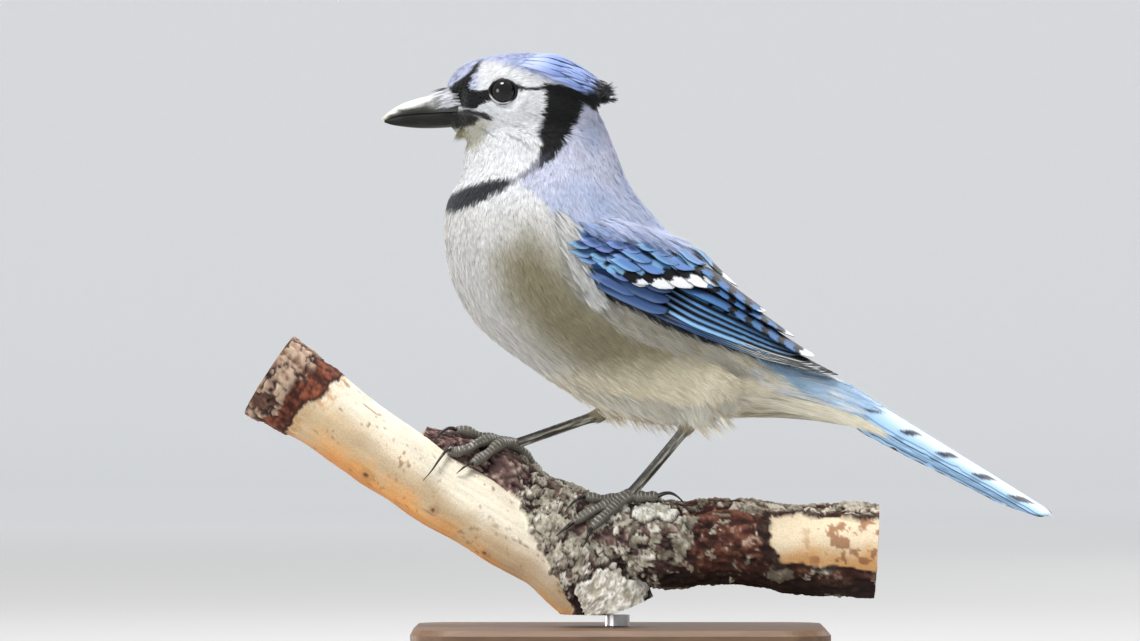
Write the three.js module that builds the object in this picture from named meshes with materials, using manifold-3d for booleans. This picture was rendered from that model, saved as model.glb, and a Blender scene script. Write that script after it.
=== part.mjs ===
// A life-size blue jay standing on a short cut length of forked branch, on a plain display stand.
// Millimetres, +Z up. The bird faces -X and its left side faces -Y. It is first built round a point
// on the branch under its left foot, and the whole is then moved so that the origin is at the middle
// of the stand's underside box.
import * as THREE from "three";
import { mergeVertices } from "three/addons/utils/BufferGeometryUtils.js";
import Module from "manifold-3d";

const wasm = await Module();
wasm.setup();

// Driving sizes
const GAP = 0.3;
const VANE = 0.5;
const PITCH = VANE + GAP;
const RAD = Math.PI / 180;

// Body outline from inside the head to the tail's root. Each station has a point of the back and one
// of the belly, [x, z] in the bird's middle plane, and the half width between them.
const BODY = [
  { back: [-17.5, 150], belly: [-51, 134], half: 12.5 },
  { back: [-8, 140.5], belly: [-56, 126.5], half: 16.5 },
  { back: [-1.5, 126.5], belly: [-57, 117.5], half: 20 },
  { back: [3.5, 114], belly: [-62.5, 106.5], half: 24.5 },
  { back: [11.5, 103.5], belly: [-63.5, 94.5], half: 28 },
  { back: [21, 93], belly: [-61, 79], half: 29.5 },
  { back: [30.5, 83], belly: [-52, 63], half: 30 },
  { back: [39.5, 73], belly: [-33, 48], half: 28.5 },
  { back: [48, 63.5], belly: [-11.5, 34.5], half: 25.5 },
  { back: [57, 54.5], belly: [12.5, 27], half: 21 },
  { back: [66, 47.5], belly: [38, 29.5], half: 15.5 },
  { back: [75, 42.5], belly: [60, 29.5], half: 11 },
  { back: [85, 38], belly: [80, 28], half: 8 },
];
const LAST = BODY.length - 1;
const BODY_SIDES = 26;
const BODY_ROWS = 30;
const SKULL_SIDES = 22;
const SKULL_ROWS = 16;
const TORSO_AT = 3.0;
const RUMP_AT = 11.2;
const CHIN = [-57, 126.5];
const NAPE = [-8, 143.5];
const MOUTH = { bill: [-57.5, 139.65], gape: [-46.4, 137.4], height: 0.45, depth: 1.1 };

// Skull with its feathers, from the bill's base to the nape
const HEAD = [
  { back: [-62.5, 149.5], belly: [-62.5, 135], half: 5.4 },
  { back: [-59.5, 154.5], belly: [-59.5, 132.5], half: 8.4 },
  { back: [-54, 158], belly: [-55, 129.5], half: 11.4 },
  { back: [-46, 160], belly: [-48, 127], half: 14.2 },
  { back: [-37, 160.6], belly: [-40, 125], half: 16 },
  { back: [-28, 159.6], belly: [-30.5, 124], half: 16.6 },
  { back: [-19.5, 156.4], belly: [-21.5, 124], half: 16.2 },
  { back: [-12.5, 151.5], belly: [-13.5, 126], half: 14.2 },
  { back: [-8, 145], belly: [-8.5, 131], half: 9.5 },
];

// The crest's arch over the crown: ridge point, half width and how far its sides drop
const CREST = [
  { ridge: [-46, 160.4], half: 9, drop: 3 },
  { ridge: [-34, 161.3], half: 14.8, drop: 7 },
  { ridge: [-24, 159.9], half: 16.8, drop: 10.5 },
  { ridge: [-15, 156], half: 15.6, drop: 11 },
  { ridge: [-8, 151.2], half: 11.5, drop: 8.5 },
  { ridge: [-3.5, 148], half: 6, drop: 4.5 },
];

const BILL_UPPER = [
  { top: [-85.6, 137.6], base: [-85.6, 136.9], half: 0.5 },
  { top: [-82.5, 140.2], base: [-82.5, 137.4], half: 1.3 },
  { top: [-78.2, 142.7], base: [-78.2, 138.4], half: 2.5 },
  { top: [-73.2, 144.4], base: [-73.2, 139], half: 3.5 },
  { top: [-68.4, 145.7], base: [-68.4, 139.3], half: 4.4 },
  { top: [-63, 147.2], base: [-62.5, 139.6], half: 5.1 },
  { top: [-57, 148], base: [-54.5, 139.9], half: 5.5 },
];
const BILL_LOWER = [
  { top: [-84.8, 136.4], base: [-84.8, 135.9], half: 0.4 },
  { top: [-82, 136.9], base: [-82, 135], half: 1.1 },
  { top: [-78.2, 138], base: [-78.2, 134.4], half: 2.2 },
  { top: [-73.2, 138.6], base: [-73.2, 133.9], half: 3.2 },
  { top: [-68.4, 138.9], base: [-68.4, 133.8], half: 4.1 },
  { top: [-63, 139.2], base: [-63, 134], half: 4.8 },
  { top: [-54.5, 139.5], base: [-55.5, 134.6], half: 5.2 },
];

const EYE = { x: -42, y: 10.6, z: 146.8, radius: 5.2 };
const LID = { radius: 5.15, tube: 0.7, y: 13.9 };

const TAIL = {
  root: [82, 42.3],
  tip: [157, -4.9],
  length: 88,
  pairs: 6,
  halfRoot: 3,
  halfTip: 4.9,
  roof: 17,
  step: 1.15,
  graduation: 1.9,
  sag: 0.0001,
  sunk: 4.6,
  clear: 18,
};

// Branch limbs: centre points [x, y, z] with a radius, in the order they grow
const LIMB_BARE = [
  [-128, -1, 46, 15.2],
  [-108, -2, 33, 13.8],
  [-86, -3, 17.5, 13.4],
  [-65, -4, 3.5, 13],
  [-43, -4, -9.5, 13],
  [-22, -3, -22, 13.6],
  [-6, -1, -37, 15.4],
  [-1, 0, -60, 16.4],
];
const LIMB_BARK = [
  [-72, 3, 22.5, 4],
  [-61, 4, 16.5, 8],
  [-47, 4, 8, 11.2],
  [-29, 3, -4, 12.6],
  [-11, 1, -12.6, 14.4],
  [11, 0, -16, 15.6],
  [36, 0, -15.5, 14.8],
  [65, 0, -17.3, 15.6],
  [96, 0, -19, 16.6],
];
const TRUNK_CUT_Z = -41;

const BASE = { length: 150, width: 104, height: 12, corner: 16, top: -45.5, x: 0 };
const ROD = { radius: 4.5, x: -1, y: 0 };

const COLOURS = {
  blue: 0x4d7cc4,
  violet: 0x8f95c9,
  white: 0xe9e9e6,
  grey: 0xb9b6a8,
  black: 0x17181c,
  bill: 0x2e3033,
  leg: 0x3f403e,
  bark: 0x6b5446,
  walnut: 0x3b2a20,
  steel: 0x8a8d90,
};

// Basic tools

const lerp = THREE.MathUtils.lerp;
const smooth = THREE.MathUtils.smoothstep;

/** Triangles of a geometry as a solid. It is turned inside out where its faces point inwards. */
function solid(geometry) {
  const bare = new THREE.BufferGeometry();
  bare.setAttribute("position", geometry.getAttribute("position"));
  bare.setIndex(geometry.index);
  const merged = mergeVertices(bare, 1e-4);
  const index = merged.index.array;
  const kept = [];
  for (let i = 0; i < index.length; i += 3) {
    const [a, b, c] = [index[i], index[i + 1], index[i + 2]];
    if (a !== b && b !== c && a !== c) kept.push(a, b, c);
  }
  const make = (triangles) =>
    new wasm.Manifold(
      new wasm.Mesh({
        numProp: 3,
        vertProperties: new Float32Array(merged.attributes.position.array),
        triVerts: new Uint32Array(triangles),
      }),
    );
  const first = make(kept);
  if (first.volume() > 0) return first;
  for (let i = 0; i < kept.length; i += 3) [kept[i + 1], kept[i + 2]] = [kept[i + 2], kept[i + 1]];
  return make(kept);
}

/** The largest closed surface of a solid, without its sealed hollows. */
function largest(body) {
  const pieces = body.decompose();
  return pieces.reduce((best, piece) => (piece.volume() > best.volume() ? piece : best));
}

const join = (bodies) => wasm.Manifold.union(bodies);
const mirrored = (body) => body.mirror([0, 1, 0]);

/** The part of a body on the side of a plane that its normal points to. */
function keepSide(body, point, normal, gap = GAP / 2) {
  const n = normal.clone().normalize();
  return body.trimByPlane([n.x, n.y, n.z], n.dot(point) + gap);
}

/** A named mesh of a solid. */
function meshOf(name, body, colour, roughness = 0.8, metalness = 0) {
  const { vertProperties, triVerts } = largest(body).getMesh();
  const geometry = new THREE.BufferGeometry();
  geometry.setAttribute("position", new THREE.BufferAttribute(new Float32Array(vertProperties), 3));
  geometry.setIndex(new THREE.BufferAttribute(new Uint32Array(triVerts), 1));
  geometry.computeVertexNormals();
  const mesh = new THREE.Mesh(
    geometry,
    new THREE.MeshStandardMaterial({ color: colour, roughness, metalness }),
  );
  mesh.name = name;
  return mesh;
}

/** A closed body drawn over a sphere's grid: pointAt(row, rows, turn) places each ring, 0 and rows are its two poles. */
function drawn(sides, rows, pointAt) {
  const sphere = new THREE.SphereGeometry(1, sides, rows);
  const position = sphere.getAttribute("position");
  for (let i = 0; i < position.count; i++) {
    const row = Math.floor(i / (sides + 1));
    const turn = (i % (sides + 1)) % sides;
    const p = pointAt(row, rows, turn / sides);
    position.setXYZ(i, p.x, p.y, p.z);
  }
  return solid(sphere);
}

/** A closed plate between a top and a bottom grid of points, both split alike. */
function plate(top, bottom) {
  const rows = top.length;
  const columns = top[0].length;
  const points = [...top.flat(), ...bottom.flat()];
  const at = (layer, r, c) => layer * rows * columns + r * columns + c;
  const index = [];
  const quad = (a, b, c, d) => index.push(a, b, c, a, c, d);
  for (let r = 0; r < rows - 1; r++) {
    for (let c = 0; c < columns - 1; c++) {
      quad(at(0, r, c), at(0, r + 1, c), at(0, r + 1, c + 1), at(0, r, c + 1));
      index.push(at(1, r, c), at(1, r + 1, c + 1), at(1, r + 1, c));
      index.push(at(1, r, c), at(1, r, c + 1), at(1, r + 1, c + 1));
    }
    quad(at(1, r, 0), at(1, r + 1, 0), at(0, r + 1, 0), at(0, r, 0));
    const e = columns - 1;
    quad(at(0, r, e), at(0, r + 1, e), at(1, r + 1, e), at(1, r, e));
  }
  for (let c = 0; c < columns - 1; c++) {
    quad(at(0, 0, c), at(0, 0, c + 1), at(1, 0, c + 1), at(1, 0, c));
    const e = rows - 1;
    quad(at(1, e, c), at(1, e, c + 1), at(0, e, c + 1), at(0, e, c));
  }
  const geometry = new THREE.BufferGeometry().setFromPoints(points);
  geometry.setIndex(index);
  return solid(geometry);
}

/** A tube of varying radius along points; frames lie against the hint direction. */
function tube(points, radii, sides, hint = new THREE.Vector3(0, 1, 0), flatten = 1) {
  const last = points.length - 1;
  return drawn(sides, last + 2, (row, rows, turn) => {
    const k = Math.min(Math.max(row - 1, 0), last);
    const ahead = points[Math.min(k + 1, last)].clone().sub(points[Math.max(k - 1, 0)]).normalize();
    const across = new THREE.Vector3().crossVectors(ahead, hint).normalize();
    const up = new THREE.Vector3().crossVectors(across, ahead);
    if (row === 0 || row === rows) return points[k].clone();
    return points[k]
      .clone()
      .addScaledVector(across, radii[k] * flatten * Math.cos(turn * 2 * Math.PI))
      .addScaledVector(up, radii[k] * Math.sin(turn * 2 * Math.PI));
  });
}

/** Value at t of a list of [t, value] steps, with smooth turns between them. */
function profile(steps, t) {
  if (t <= steps[0][0]) return steps[0][1];
  for (let i = 1; i < steps.length; i++) {
    if (t <= steps[i][0]) {
      return lerp(steps[i - 1][1], steps[i][1], smooth(t, steps[i - 1][0], steps[i][0]));
    }
  }
  return steps[steps.length - 1][1];
}

/** Plane square to the middle plane through a point of the back and one of the belly, facing the tail. */
function planeThrough(back, belly) {
  const down = belly.clone().sub(back);
  return [back, new THREE.Vector3(-down.z, 0, down.x).normalize()];
}

// Lofted forms

const curveOf = (points) => new THREE.CatmullRomCurve3(points, false, "centripetal");

/** A form lofted through stations. Its points have a station, an angle from the back to the left and a height. */
class Loft {
  constructor(stations) {
    this.last = stations.length - 1;
    this.back = curveOf(stations.map((s) => new THREE.Vector3(s.back[0], 0, s.back[1])));
    this.belly = curveOf(stations.map((s) => new THREE.Vector3(s.belly[0], 0, s.belly[1])));
    this.width = curveOf(stations.map((s, i) => new THREE.Vector3(i * 10, s.half, 0)));
  }
  at(station, angle, grow = 0) {
    const place = this.skin(station, angle);
    if (grow === 0) return place;
    const step = 0.02;
    const round = this.skin(station, angle + step).sub(this.skin(station, angle - step));
    const ahead = this.skin(station + step, angle).sub(this.skin(station - step, angle));
    return place.addScaledVector(round.cross(ahead).normalize(), grow);
  }
  skin(station, angle) {
    const t = THREE.MathUtils.clamp(station / this.last, 0, 1);
    const back = this.back.getPoint(t);
    const belly = this.belly.getPoint(t);
    const half = this.width.getPoint(t).y;
    const up = back.clone().sub(belly).multiplyScalar(0.5);
    const middle = back.add(belly).multiplyScalar(0.5);
    middle.addScaledVector(up, Math.cos(angle));
    middle.y = -half * Math.sin(angle);
    return middle;
  }
  middle(station) {
    return this.at(station, 0).add(this.at(station, Math.PI)).multiplyScalar(0.5);
  }
  /** Plane of a station's ring: a point and the direction towards the next stations. */
  ringPlane(station) {
    return planeThrough(this.at(station, 0), this.at(station, Math.PI));
  }
  /** Direction along the form at a station. */
  along(station) {
    const step = 0.05;
    return this.middle(station + step).sub(this.middle(station - step)).normalize();
  }
  body(sides, rows, grow = 0, from = 0, to = this.last) {
    return drawn(sides, rows, (row, all, turn) => {
      const station = lerp(from, to, THREE.MathUtils.clamp((row - 1) / (all - 2), 0, 1));
      if (row === 0 || row === all) return this.middle(station);
      return this.at(station, turn * 2 * Math.PI, grow);
    });
  }
}

const body = new Loft(BODY);
const skull = new Loft(HEAD);

// Bill, eyes and head

/** A mandible: arched on one side, flat on the side that meets the other one. */
function mandible(stations, arch, grow = 0) {
  const last = stations.length - 1;
  return drawn(12, last + 2, (row, rows, turn) => {
    const k = Math.min(Math.max(row - 1, 0), last);
    const s = stations[k];
    const [top, base] = [s.top, s.base];
    const angle = turn * 2 * Math.PI;
    const curved = arch > 0 ? Math.max(0, Math.cos(angle)) ** 0.8 : 1 - Math.max(0, -Math.cos(angle)) ** 0.8;
    const pole = row === 0 || row === rows;
    const share = pole ? 0.5 : curved;
    const z = lerp(base[1] - grow, top[1] + grow, share);
    const y = pole ? 0 : (s.half + grow) * Math.sin(angle);
    const x = lerp(base[0], top[0], share) + (row <= 1 ? -grow : 0) + (row >= rows - 1 ? grow : 0);
    return new THREE.Vector3(x, y, z);
  });
}

function ball(x, y, z, radius, sides = 16, rows = 10) {
  return solid(new THREE.SphereGeometry(radius, sides, rows).translate(x, y, z));
}

/** Groove that carries the line of the mouth from the bill's base back to the gape, on the left. */
function mouthLine() {
  const steps = 2;
  const grid = (side) =>
    Array.from({ length: steps + 1 }, (_, r) => {
      const s = r / steps;
      const x = lerp(MOUTH.bill[0], MOUTH.gape[0], s);
      const z = lerp(MOUTH.bill[1], MOUTH.gape[1], s) + side * MOUTH.height * 0.5 * (1 - 0.7 * s);
      const surface = -mouthWidth(x, z);
      return [surface + MOUTH.depth * (1 - 0.6 * s), surface - 3].map((y) => new THREE.Vector3(x, y, z));
    });
  return plate(grid(1), grid(-1));
}

/** Half width of the skull at a place in the middle plane. */
function mouthWidth(x, z) {
  let best = null;
  for (let station = 0; station <= skull.last; station += 0.1) {
    for (let angle = 30; angle <= 150; angle += 3) {
      const p = skull.at(station, angle * RAD);
      const away = Math.hypot(p.x - x, p.z - z);
      if (!best || away < best.away) best = { away, half: -p.y };
    }
  }
  return best.half;
}

/** Ring of bare skin round the left eye. */
function lidRing() {
  const ring = new THREE.TorusGeometry(LID.radius, LID.tube, 4, 16);
  ring.rotateX(Math.PI / 2);
  ring.rotateZ(-6 * RAD);
  ring.translate(EYE.x, -LID.y, EYE.z);
  return solid(ring);
}

/** Bristle feathers that lie forward over the left nostril. */
function nasalTuft() {
  const vanes = [];
  const count = 3;
  for (let i = 0; i < count; i++) {
    const share = i / (count - 1);
    const rows = [];
    const under = [];
    const steps = 3;
    for (let r = 0; r <= steps; r++) {
      const s = r / steps;
      const x = lerp(-57, -70.5 + 2.5 * share, s);
      const z = lerp(147.2 - 5.4 * share, 144.2 - 3.6 * share, s);
      const y = lerp(7.2 + 0.6 * share, 4.9 + 0.5 * share, s ** 0.8) + 0.5;
      const half = 1.15 * (1 - 0.75 * s);
      rows.push([-1, 1].map((c) => new THREE.Vector3(x, -y - 0.3, z + c * half)));
      under.push([-1, 1].map((c) => new THREE.Vector3(x, -y + 0.25, z + c * half)));
    }
    vanes.push(plate(rows, under));
  }
  return join(vanes);
}

// Crest

/** A point of the crest's arch: place along it from 0 to 1, angle from the ridge to the left, and lift. */
function crestPoint(share, angle, lift) {
  const t = share * (CREST.length - 1);
  const i = Math.min(Math.floor(t), CREST.length - 2);
  const f = t - i;
  const ridge = crestRidge.getPoint(share);
  const half = lerp(CREST[i].half, CREST[i + 1].half, f);
  const drop = lerp(CREST[i].drop, CREST[i + 1].drop, f);
  return new THREE.Vector3(
    ridge.x,
    -(half + lift) * Math.sin(angle),
    ridge.z + lift - (drop + lift) * (1 - Math.cos(angle)),
  );
}
const crestRidge = curveOf(CREST.map((c) => new THREE.Vector3(c.ridge[0], 0, c.ridge[1])));

/** A vane lying on the crest's arch. */
function crestVane({ root, tip, angleRoot, angleTip, width, lift }) {
  const steps = 3;
  const top = [];
  const under = [];
  for (let r = 0; r <= steps; r++) {
    const s = r / steps;
    const share = lerp(root, tip, s);
    const angle = lerp(angleRoot, angleTip, s) * RAD;
    const half = (width / 2) * (s < 0.99 ? lerp(0.85, 0.55, s) : 0.16);
    const radius = 14;
    const raise = lerp(-0.9, lift, smooth(s, 0, 0.35));
    const grid = (sign) =>
      [-1, 1].map((c) => crestPoint(share, angle + (c * half) / radius, raise + (sign * VANE) / 2));
    top.push(grid(1));
    under.push(grid(-1));
  }
  return plate(top, under);
}

function crest() {
  const rows = 6;
  const columns = 8;
  const reach = 78;
  const grid = (lift) =>
    Array.from({ length: rows }, (_, r) =>
      Array.from({ length: columns }, (_, c) =>
        crestPoint(lerp(0.06, 0.82, r / (rows - 1)), lerp(-reach, reach, c / (columns - 1)) * RAD, lift),
      ),
    );
  const parts = [plate(grid(-0.35), grid(-0.95))];
  const tiers = [
    { root: 0.62, tip: 1, angles: [0, 24, 50, 74], shrink: 0.1, width: 7, lift: 0 },
    { root: 0.4, tip: 0.86, angles: [15, 48], shrink: 0.06, width: 8.5, lift: 0.55 },
    { root: 0.2, tip: 0.62, angles: [0, 34], shrink: 0.04, width: 8.5, lift: 0.8 },
  ];
  for (const tier of tiers) {
    tier.angles.forEach((angle, i) => {
      for (const side of angle === 0 ? [1] : [-1, 1]) {
        parts.push(
          crestVane({
            root: tier.root - 0.03 * i,
            tip: tier.tip - tier.shrink * i,
            angleRoot: side * angle,
            angleTip: side * angle * 0.92,
            width: tier.width,
            lift: tier.lift,
          }),
        );
      }
    });
  }
  return join(parts);
}

// Wings

const WING_EDGE = 1.1;
const WING_UNDER = -0.6;
const WING_TOP = [
  [4.1, 1.2],
  [4.5, 2.4],
  [4.9, 3.4],
  [5.3, 3.5],
  [5.6, 2.9],
  [6.2, 2.5],
  [6.6, 2],
  [6.95, 1.3],
  [9.4, 1.1],
];
const WING_LOWER = [
  [4.1, 74],
  [4.6, 84],
  [5.4, 86],
  [6.2, 81],
  [7, 72],
  [8, 57],
  [9, 39],
  [9.4, 31],
];
const WING_UPPER = [
  [4.1, 52],
  [4.6, 32],
  [5.4, 20],
  [6.2, 13],
  [7, 9],
  [9.4, 8],
];

/** How far one degree of turn moves a point of the body's surface. */
function perRadian(station, angle) {
  const step = 1 * RAD;
  return body.at(station, angle + step).distanceTo(body.at(station, angle - step)) / (2 * step);
}

/** A feather vane that lies on the body's left side. Places are [station, angle in degrees]. */
function wingVane({ root, tip, width, lift, slope, bow = 0, steps = 4, blunt = 0.42, sunk = 0.9, rise = 0 }) {
  const top = [];
  const under = [];
  for (let r = 0; r <= steps; r++) {
    const s = r / steps;
    const station = lerp(root[0], tip[0], s);
    const angle = (lerp(root[1], tip[1], s) + bow * Math.sin(Math.PI * s)) * RAD;
    const reach = perRadian(station, angle);
    const half = (width / 2) * (s < 0.99 ? lerp(0.8, 1, smooth(s, 0, 0.35)) * lerp(1, 0.86, s) : blunt);
    const raise = lerp(lift - sunk, lift, smooth(s, 0, 0.3)) + rise * s;
    const lean = slope(station);
    const grid = (sign) =>
      [-1, 1].map((c) => {
        const turned = Math.max(angle + (c * half) / reach, 0.6 / reach);
        return body.at(station, turned, raise + lean * c * half + sign * (VANE / 2));
      });
    top.push(grid(1));
    under.push(grid(-1));
  }
  return plate(top, under);
}

/** A row of vanes between its dorsal and its ventral feather, each overlapping the next like shingles. */
function tract({ count, first, last, width, lift, steepest = 0.42, drop = 0, ...rest }) {
  const place = (end, s) => [0, 1].map((k) => lerp(first[end][k], last[end][k], s));
  const angleAt = (feather, station) => {
    const s = THREE.MathUtils.clamp(
      (station - feather.root[0]) / (feather.tip[0] - feather.root[0]),
      0,
      1,
    );
    return lerp(feather.root[1], feather.tip[1], s);
  };
  const slope = (station) => {
    const fan = Math.abs(angleAt(last, station) - angleAt(first, station)) * RAD;
    const middle = (angleAt(last, station) + angleAt(first, station)) * 0.5 * RAD;
    const pitch = (fan * perRadian(station, middle)) / Math.max(count - 1, 1);
    return Math.min(steepest, PITCH / Math.max(pitch, 0.1));
  };
  return Array.from({ length: count }, (_, i) => {
    const s = count > 1 ? i / (count - 1) : 0;
    return wingVane({
      root: place("root", s),
      tip: place("tip", s),
      width: lerp(width[0], width[1], s),
      lift: lift - drop * i,
      slope,
      ...rest,
    });
  });
}

const WING_TRACTS = [
  {
    count: 3,
    first: { root: [6.4, 20], tip: [8.7, 15] },
    last: { root: [6.3, 36], tip: [9.9, 20] },
    width: [9, 9],
    lift: 3.6,
    drop: 0.25,
    rise: 4.6,
  },
  {
    count: 5,
    first: { root: [6.25, 42], tip: [9.85, 22] },
    last: { root: [6.2, 65], tip: [10, 30] },
    width: [8, 8],
    lift: 2.75,
    bow: 1,
    drop: 0.1,
    rise: 3.2,
  },
  {
    count: 5,
    first: { root: [6.1, 69], tip: [10.3, 28] },
    last: { root: [5.7, 79], tip: [11.1, 26] },
    width: [6.5, 6.5],
    lift: 2.3,
    bow: 3,
    drop: 0.12,
    rise: 1.8,
  },
  {
    count: 5,
    first: { root: [5.35, 22], tip: [7.2, 17] },
    last: { root: [5.2, 72], tip: [7, 67] },
    width: [11.5, 10.5],
    lift: 4.25,
    steps: 3,
    sunk: 2,
    rise: 0.6,
  },
  {
    count: 3,
    first: { root: [5, 76], tip: [6.5, 73] },
    last: { root: [4.9, 84], tip: [6.4, 80] },
    width: [6.5, 6],
    lift: 3.5,
    steps: 3,
    sunk: 1.4,
  },
  {
    count: 4,
    first: { root: [4.75, 30], tip: [5.95, 22] },
    last: { root: [4.7, 66], tip: [5.7, 62] },
    width: [12, 11],
    lift: 5,
    steps: 3,
    sunk: 2.4,
  },
];

function wing() {
  const rows = 10;
  const columns = 5;
  const grid = (pointAt) =>
    Array.from({ length: rows }, (_, r) =>
      Array.from({ length: columns }, (_, c) => {
        const station = lerp(WING_TOP[0][0], WING_TOP[WING_TOP.length - 1][0], r / (rows - 1));
        const share = c / (columns - 1);
        const angle = lerp(profile(WING_UPPER, station), profile(WING_LOWER, station), share) * RAD;
        return pointAt(station, angle, Math.sin(Math.PI * share) ** 0.35);
      }),
    );
  const top = grid((station, angle, arch) =>
    body.at(station, angle, WING_EDGE + (profile(WING_TOP, station) - WING_EDGE) * arch),
  );
  const under = grid((station, angle) => body.at(station, angle, WING_UNDER));
  return join([plate(top, under), ...WING_TRACTS.flatMap(tract)]);
}

// Tail

const tailAhead = new THREE.Vector3(TAIL.tip[0] - TAIL.root[0], 0, TAIL.tip[1] - TAIL.root[1]).normalize();
const tailUp = new THREE.Vector3(-tailAhead.z, 0, tailAhead.x);

/** A point of the closed tail: distance from its root, place across the sloping side, and height over it. */
function tailPoint(along, side, across, height) {
  const roof = TAIL.roof * RAD * smooth(along, -6, 20);
  const droop = TAIL.sag * along * along + TAIL.sunk * (1 - smooth(along, 0, TAIL.clear));
  return new THREE.Vector3(TAIL.root[0], 0, TAIL.root[1])
    .addScaledVector(tailAhead, along)
    .addScaledVector(tailUp, height * Math.cos(roof) - across * Math.sin(roof) - droop)
    .add(new THREE.Vector3(0, -side * (across * Math.cos(roof) + height * Math.sin(roof)), 0));
}

/** One tail feather. Pair 0 is the middle one. */
function rectrix(pair, side) {
  const steps = 4;
  const length = TAIL.length - TAIL.graduation * pair * (0.7 + 0.13 * pair);
  const top = [];
  const under = [];
  for (let r = 0; r <= steps; r++) {
    const s = (r / steps) ** 1.5;
    const half = s < 0.99 ? lerp(TAIL.halfRoot, TAIL.halfTip, smooth(s, 0, 0.5)) : TAIL.halfTip * 0.45;
    const spread = smooth(s, -0.1, 0.6);
    const inner = 0.25 + pair * TAIL.step * spread;
    const level = -PITCH * pair;
    const grid = (sign) =>
      [0, 2].map((c) => tailPoint(s * length, side, inner + c * half, level + (sign * VANE) / 2));
    top.push(grid(1));
    under.push(grid(-1));
  }
  return plate(top, under);
}

/** A covert vane that lies over or under the tail's root. */
function tailCovert({ from, to, angle, angleTip, width, lift }) {
  const steps = 3;
  const top = [];
  const under = [];
  for (let r = 0; r <= steps; r++) {
    const s = r / steps;
    const half = (width / 2) * (s < 0.99 ? lerp(0.9, 0.75, s) : 0.3);
    const station = lerp(from, to, s);
    const over = Math.max(station - LAST, 0);
    const turned = lerp(angle, angleTip, s) * RAD;
    const reach = Math.max(perRadian(Math.min(station, LAST), turned), 5);
    const raise = lerp(lift - 1, lift, smooth(s, 0, 0.4));
    const bend = Math.cos(turned) > 0 ? 0.85 : 0.3;
    const ahead = body.along(LAST - 0.1).lerp(tailAhead, bend).normalize().multiplyScalar(over * 10.5);
    const grid = (sign) =>
      [-1, 1].map((c) =>
        body
          .at(Math.min(station, LAST), turned + (c * half) / reach, raise + (sign * VANE) / 2)
          .add(ahead),
      );
    top.push(grid(1));
    under.push(grid(-1));
  }
  return plate(top, under);
}

function tailCoverts() {
  const vanes = [];
  for (const side of [-1, 1]) {
    for (const [angle, to] of [[18, 12.6], [62, 12.45]]) {
      vanes.push(
        tailCovert({ from: 11.4, to, angle: side * angle, angleTip: side * angle * 0.7, width: 8, lift: 0.5 }),
      );
    }
    for (const [angle, to] of [[162, 13], [122, 12.6]]) {
      vanes.push(
        tailCovert({ from: 11.35, to, angle: side * angle, angleTip: side * (angle + 6), width: 10, lift: 0.5 }),
      );
    }
  }
  return vanes;
}

function tail(rump) {
  const feathers = [];
  for (let pair = 0; pair < TAIL.pairs; pair++) {
    for (const side of [-1, 1]) feathers.push(rectrix(pair, side));
  }
  return join([rump, ...feathers, ...tailCoverts()]);
}

// Branch

/** Slow ripple of a limb's bark, in millimetres. */
function ripple(along, turn, seed, size) {
  return (
    size *
    (0.5 * Math.sin(along * 0.21 + seed + 2 * Math.sin(turn)) +
      0.32 * Math.sin(3 * turn + along * 0.09 + seed * 2) +
      0.18 * Math.sin(5 * turn - along * 0.34 + seed * 3))
  );
}

class Limb {
  constructor(points, seed, size) {
    this.curve = curveOf(points.map(([x, y, z]) => new THREE.Vector3(x, y, z)));
    this.radii = curveOf(points.map((p, i) => new THREE.Vector3(i * 10, p[3], 0)));
    this.seed = seed;
    this.size = size;
    this.samples = Array.from({ length: 161 }, (_, i) => this.curve.getPoint(i / 160));
    this.length = this.curve.getLength();
  }
  frame(t) {
    const ahead = this.curve.getPoint(Math.min(t + 0.004, 1)).sub(this.curve.getPoint(Math.max(t - 0.004, 0)));
    ahead.normalize();
    const across = new THREE.Vector3(0, 1, 0).addScaledVector(ahead, -ahead.y).normalize();
    const up = new THREE.Vector3().crossVectors(ahead, across);
    return { ahead, across, up };
  }
  radius(t, turn) {
    return this.radii.getPoint(t).y + ripple(t * this.length, turn, this.seed, this.size);
  }
  surface(t, turn, grow = 0) {
    const { across, up } = this.frame(t);
    const r = this.radius(t, turn) + grow;
    return this.curve
      .getPoint(t)
      .addScaledVector(across, r * Math.cos(turn))
      .addScaledVector(up, r * Math.sin(turn));
  }
  body(sides, rows) {
    return drawn(sides, rows, (row, all, turn) => {
      const t = THREE.MathUtils.clamp((row - 1) / (all - 2), 0, 1);
      return row === 0 || row === all ? this.curve.getPoint(t) : this.surface(t, turn * 2 * Math.PI);
    });
  }
  /** Distance from a point to the limb's surface. */
  distance(p) {
    let best = 0;
    this.samples.forEach((q, i) => {
      if (q.distanceToSquared(p) < this.samples[best].distanceToSquared(p)) best = i;
    });
    const t = best / (this.samples.length - 1);
    const { ahead, across, up } = this.frame(t);
    const away = p.clone().sub(this.samples[best]);
    away.addScaledVector(ahead, -away.dot(ahead));
    return away.length() - this.radius(t, Math.atan2(away.dot(up), away.dot(across)));
  }
}

const bare = new Limb(LIMB_BARE, 0.7, 0.5);
const barked = new Limb(LIMB_BARK, 2.1, 0.9);
const perchDistance = (p) => Math.min(bare.distance(p), barked.distance(p));

/** The point nearest to p at a given height over the branch. */
function onPerch(p, height) {
  const q = p.clone();
  const step = 0.4;
  for (let i = 0; i < 14; i++) {
    const here = perchDistance(q);
    const slope = new THREE.Vector3(
      perchDistance(q.clone().add(new THREE.Vector3(step, 0, 0))) - here,
      perchDistance(q.clone().add(new THREE.Vector3(0, step, 0))) - here,
      perchDistance(q.clone().add(new THREE.Vector3(0, 0, step))) - here,
    );
    if (slope.length() < 1e-6) break;
    q.addScaledVector(slope.normalize(), (height - here) * 0.8);
  }
  return q;
}

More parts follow.
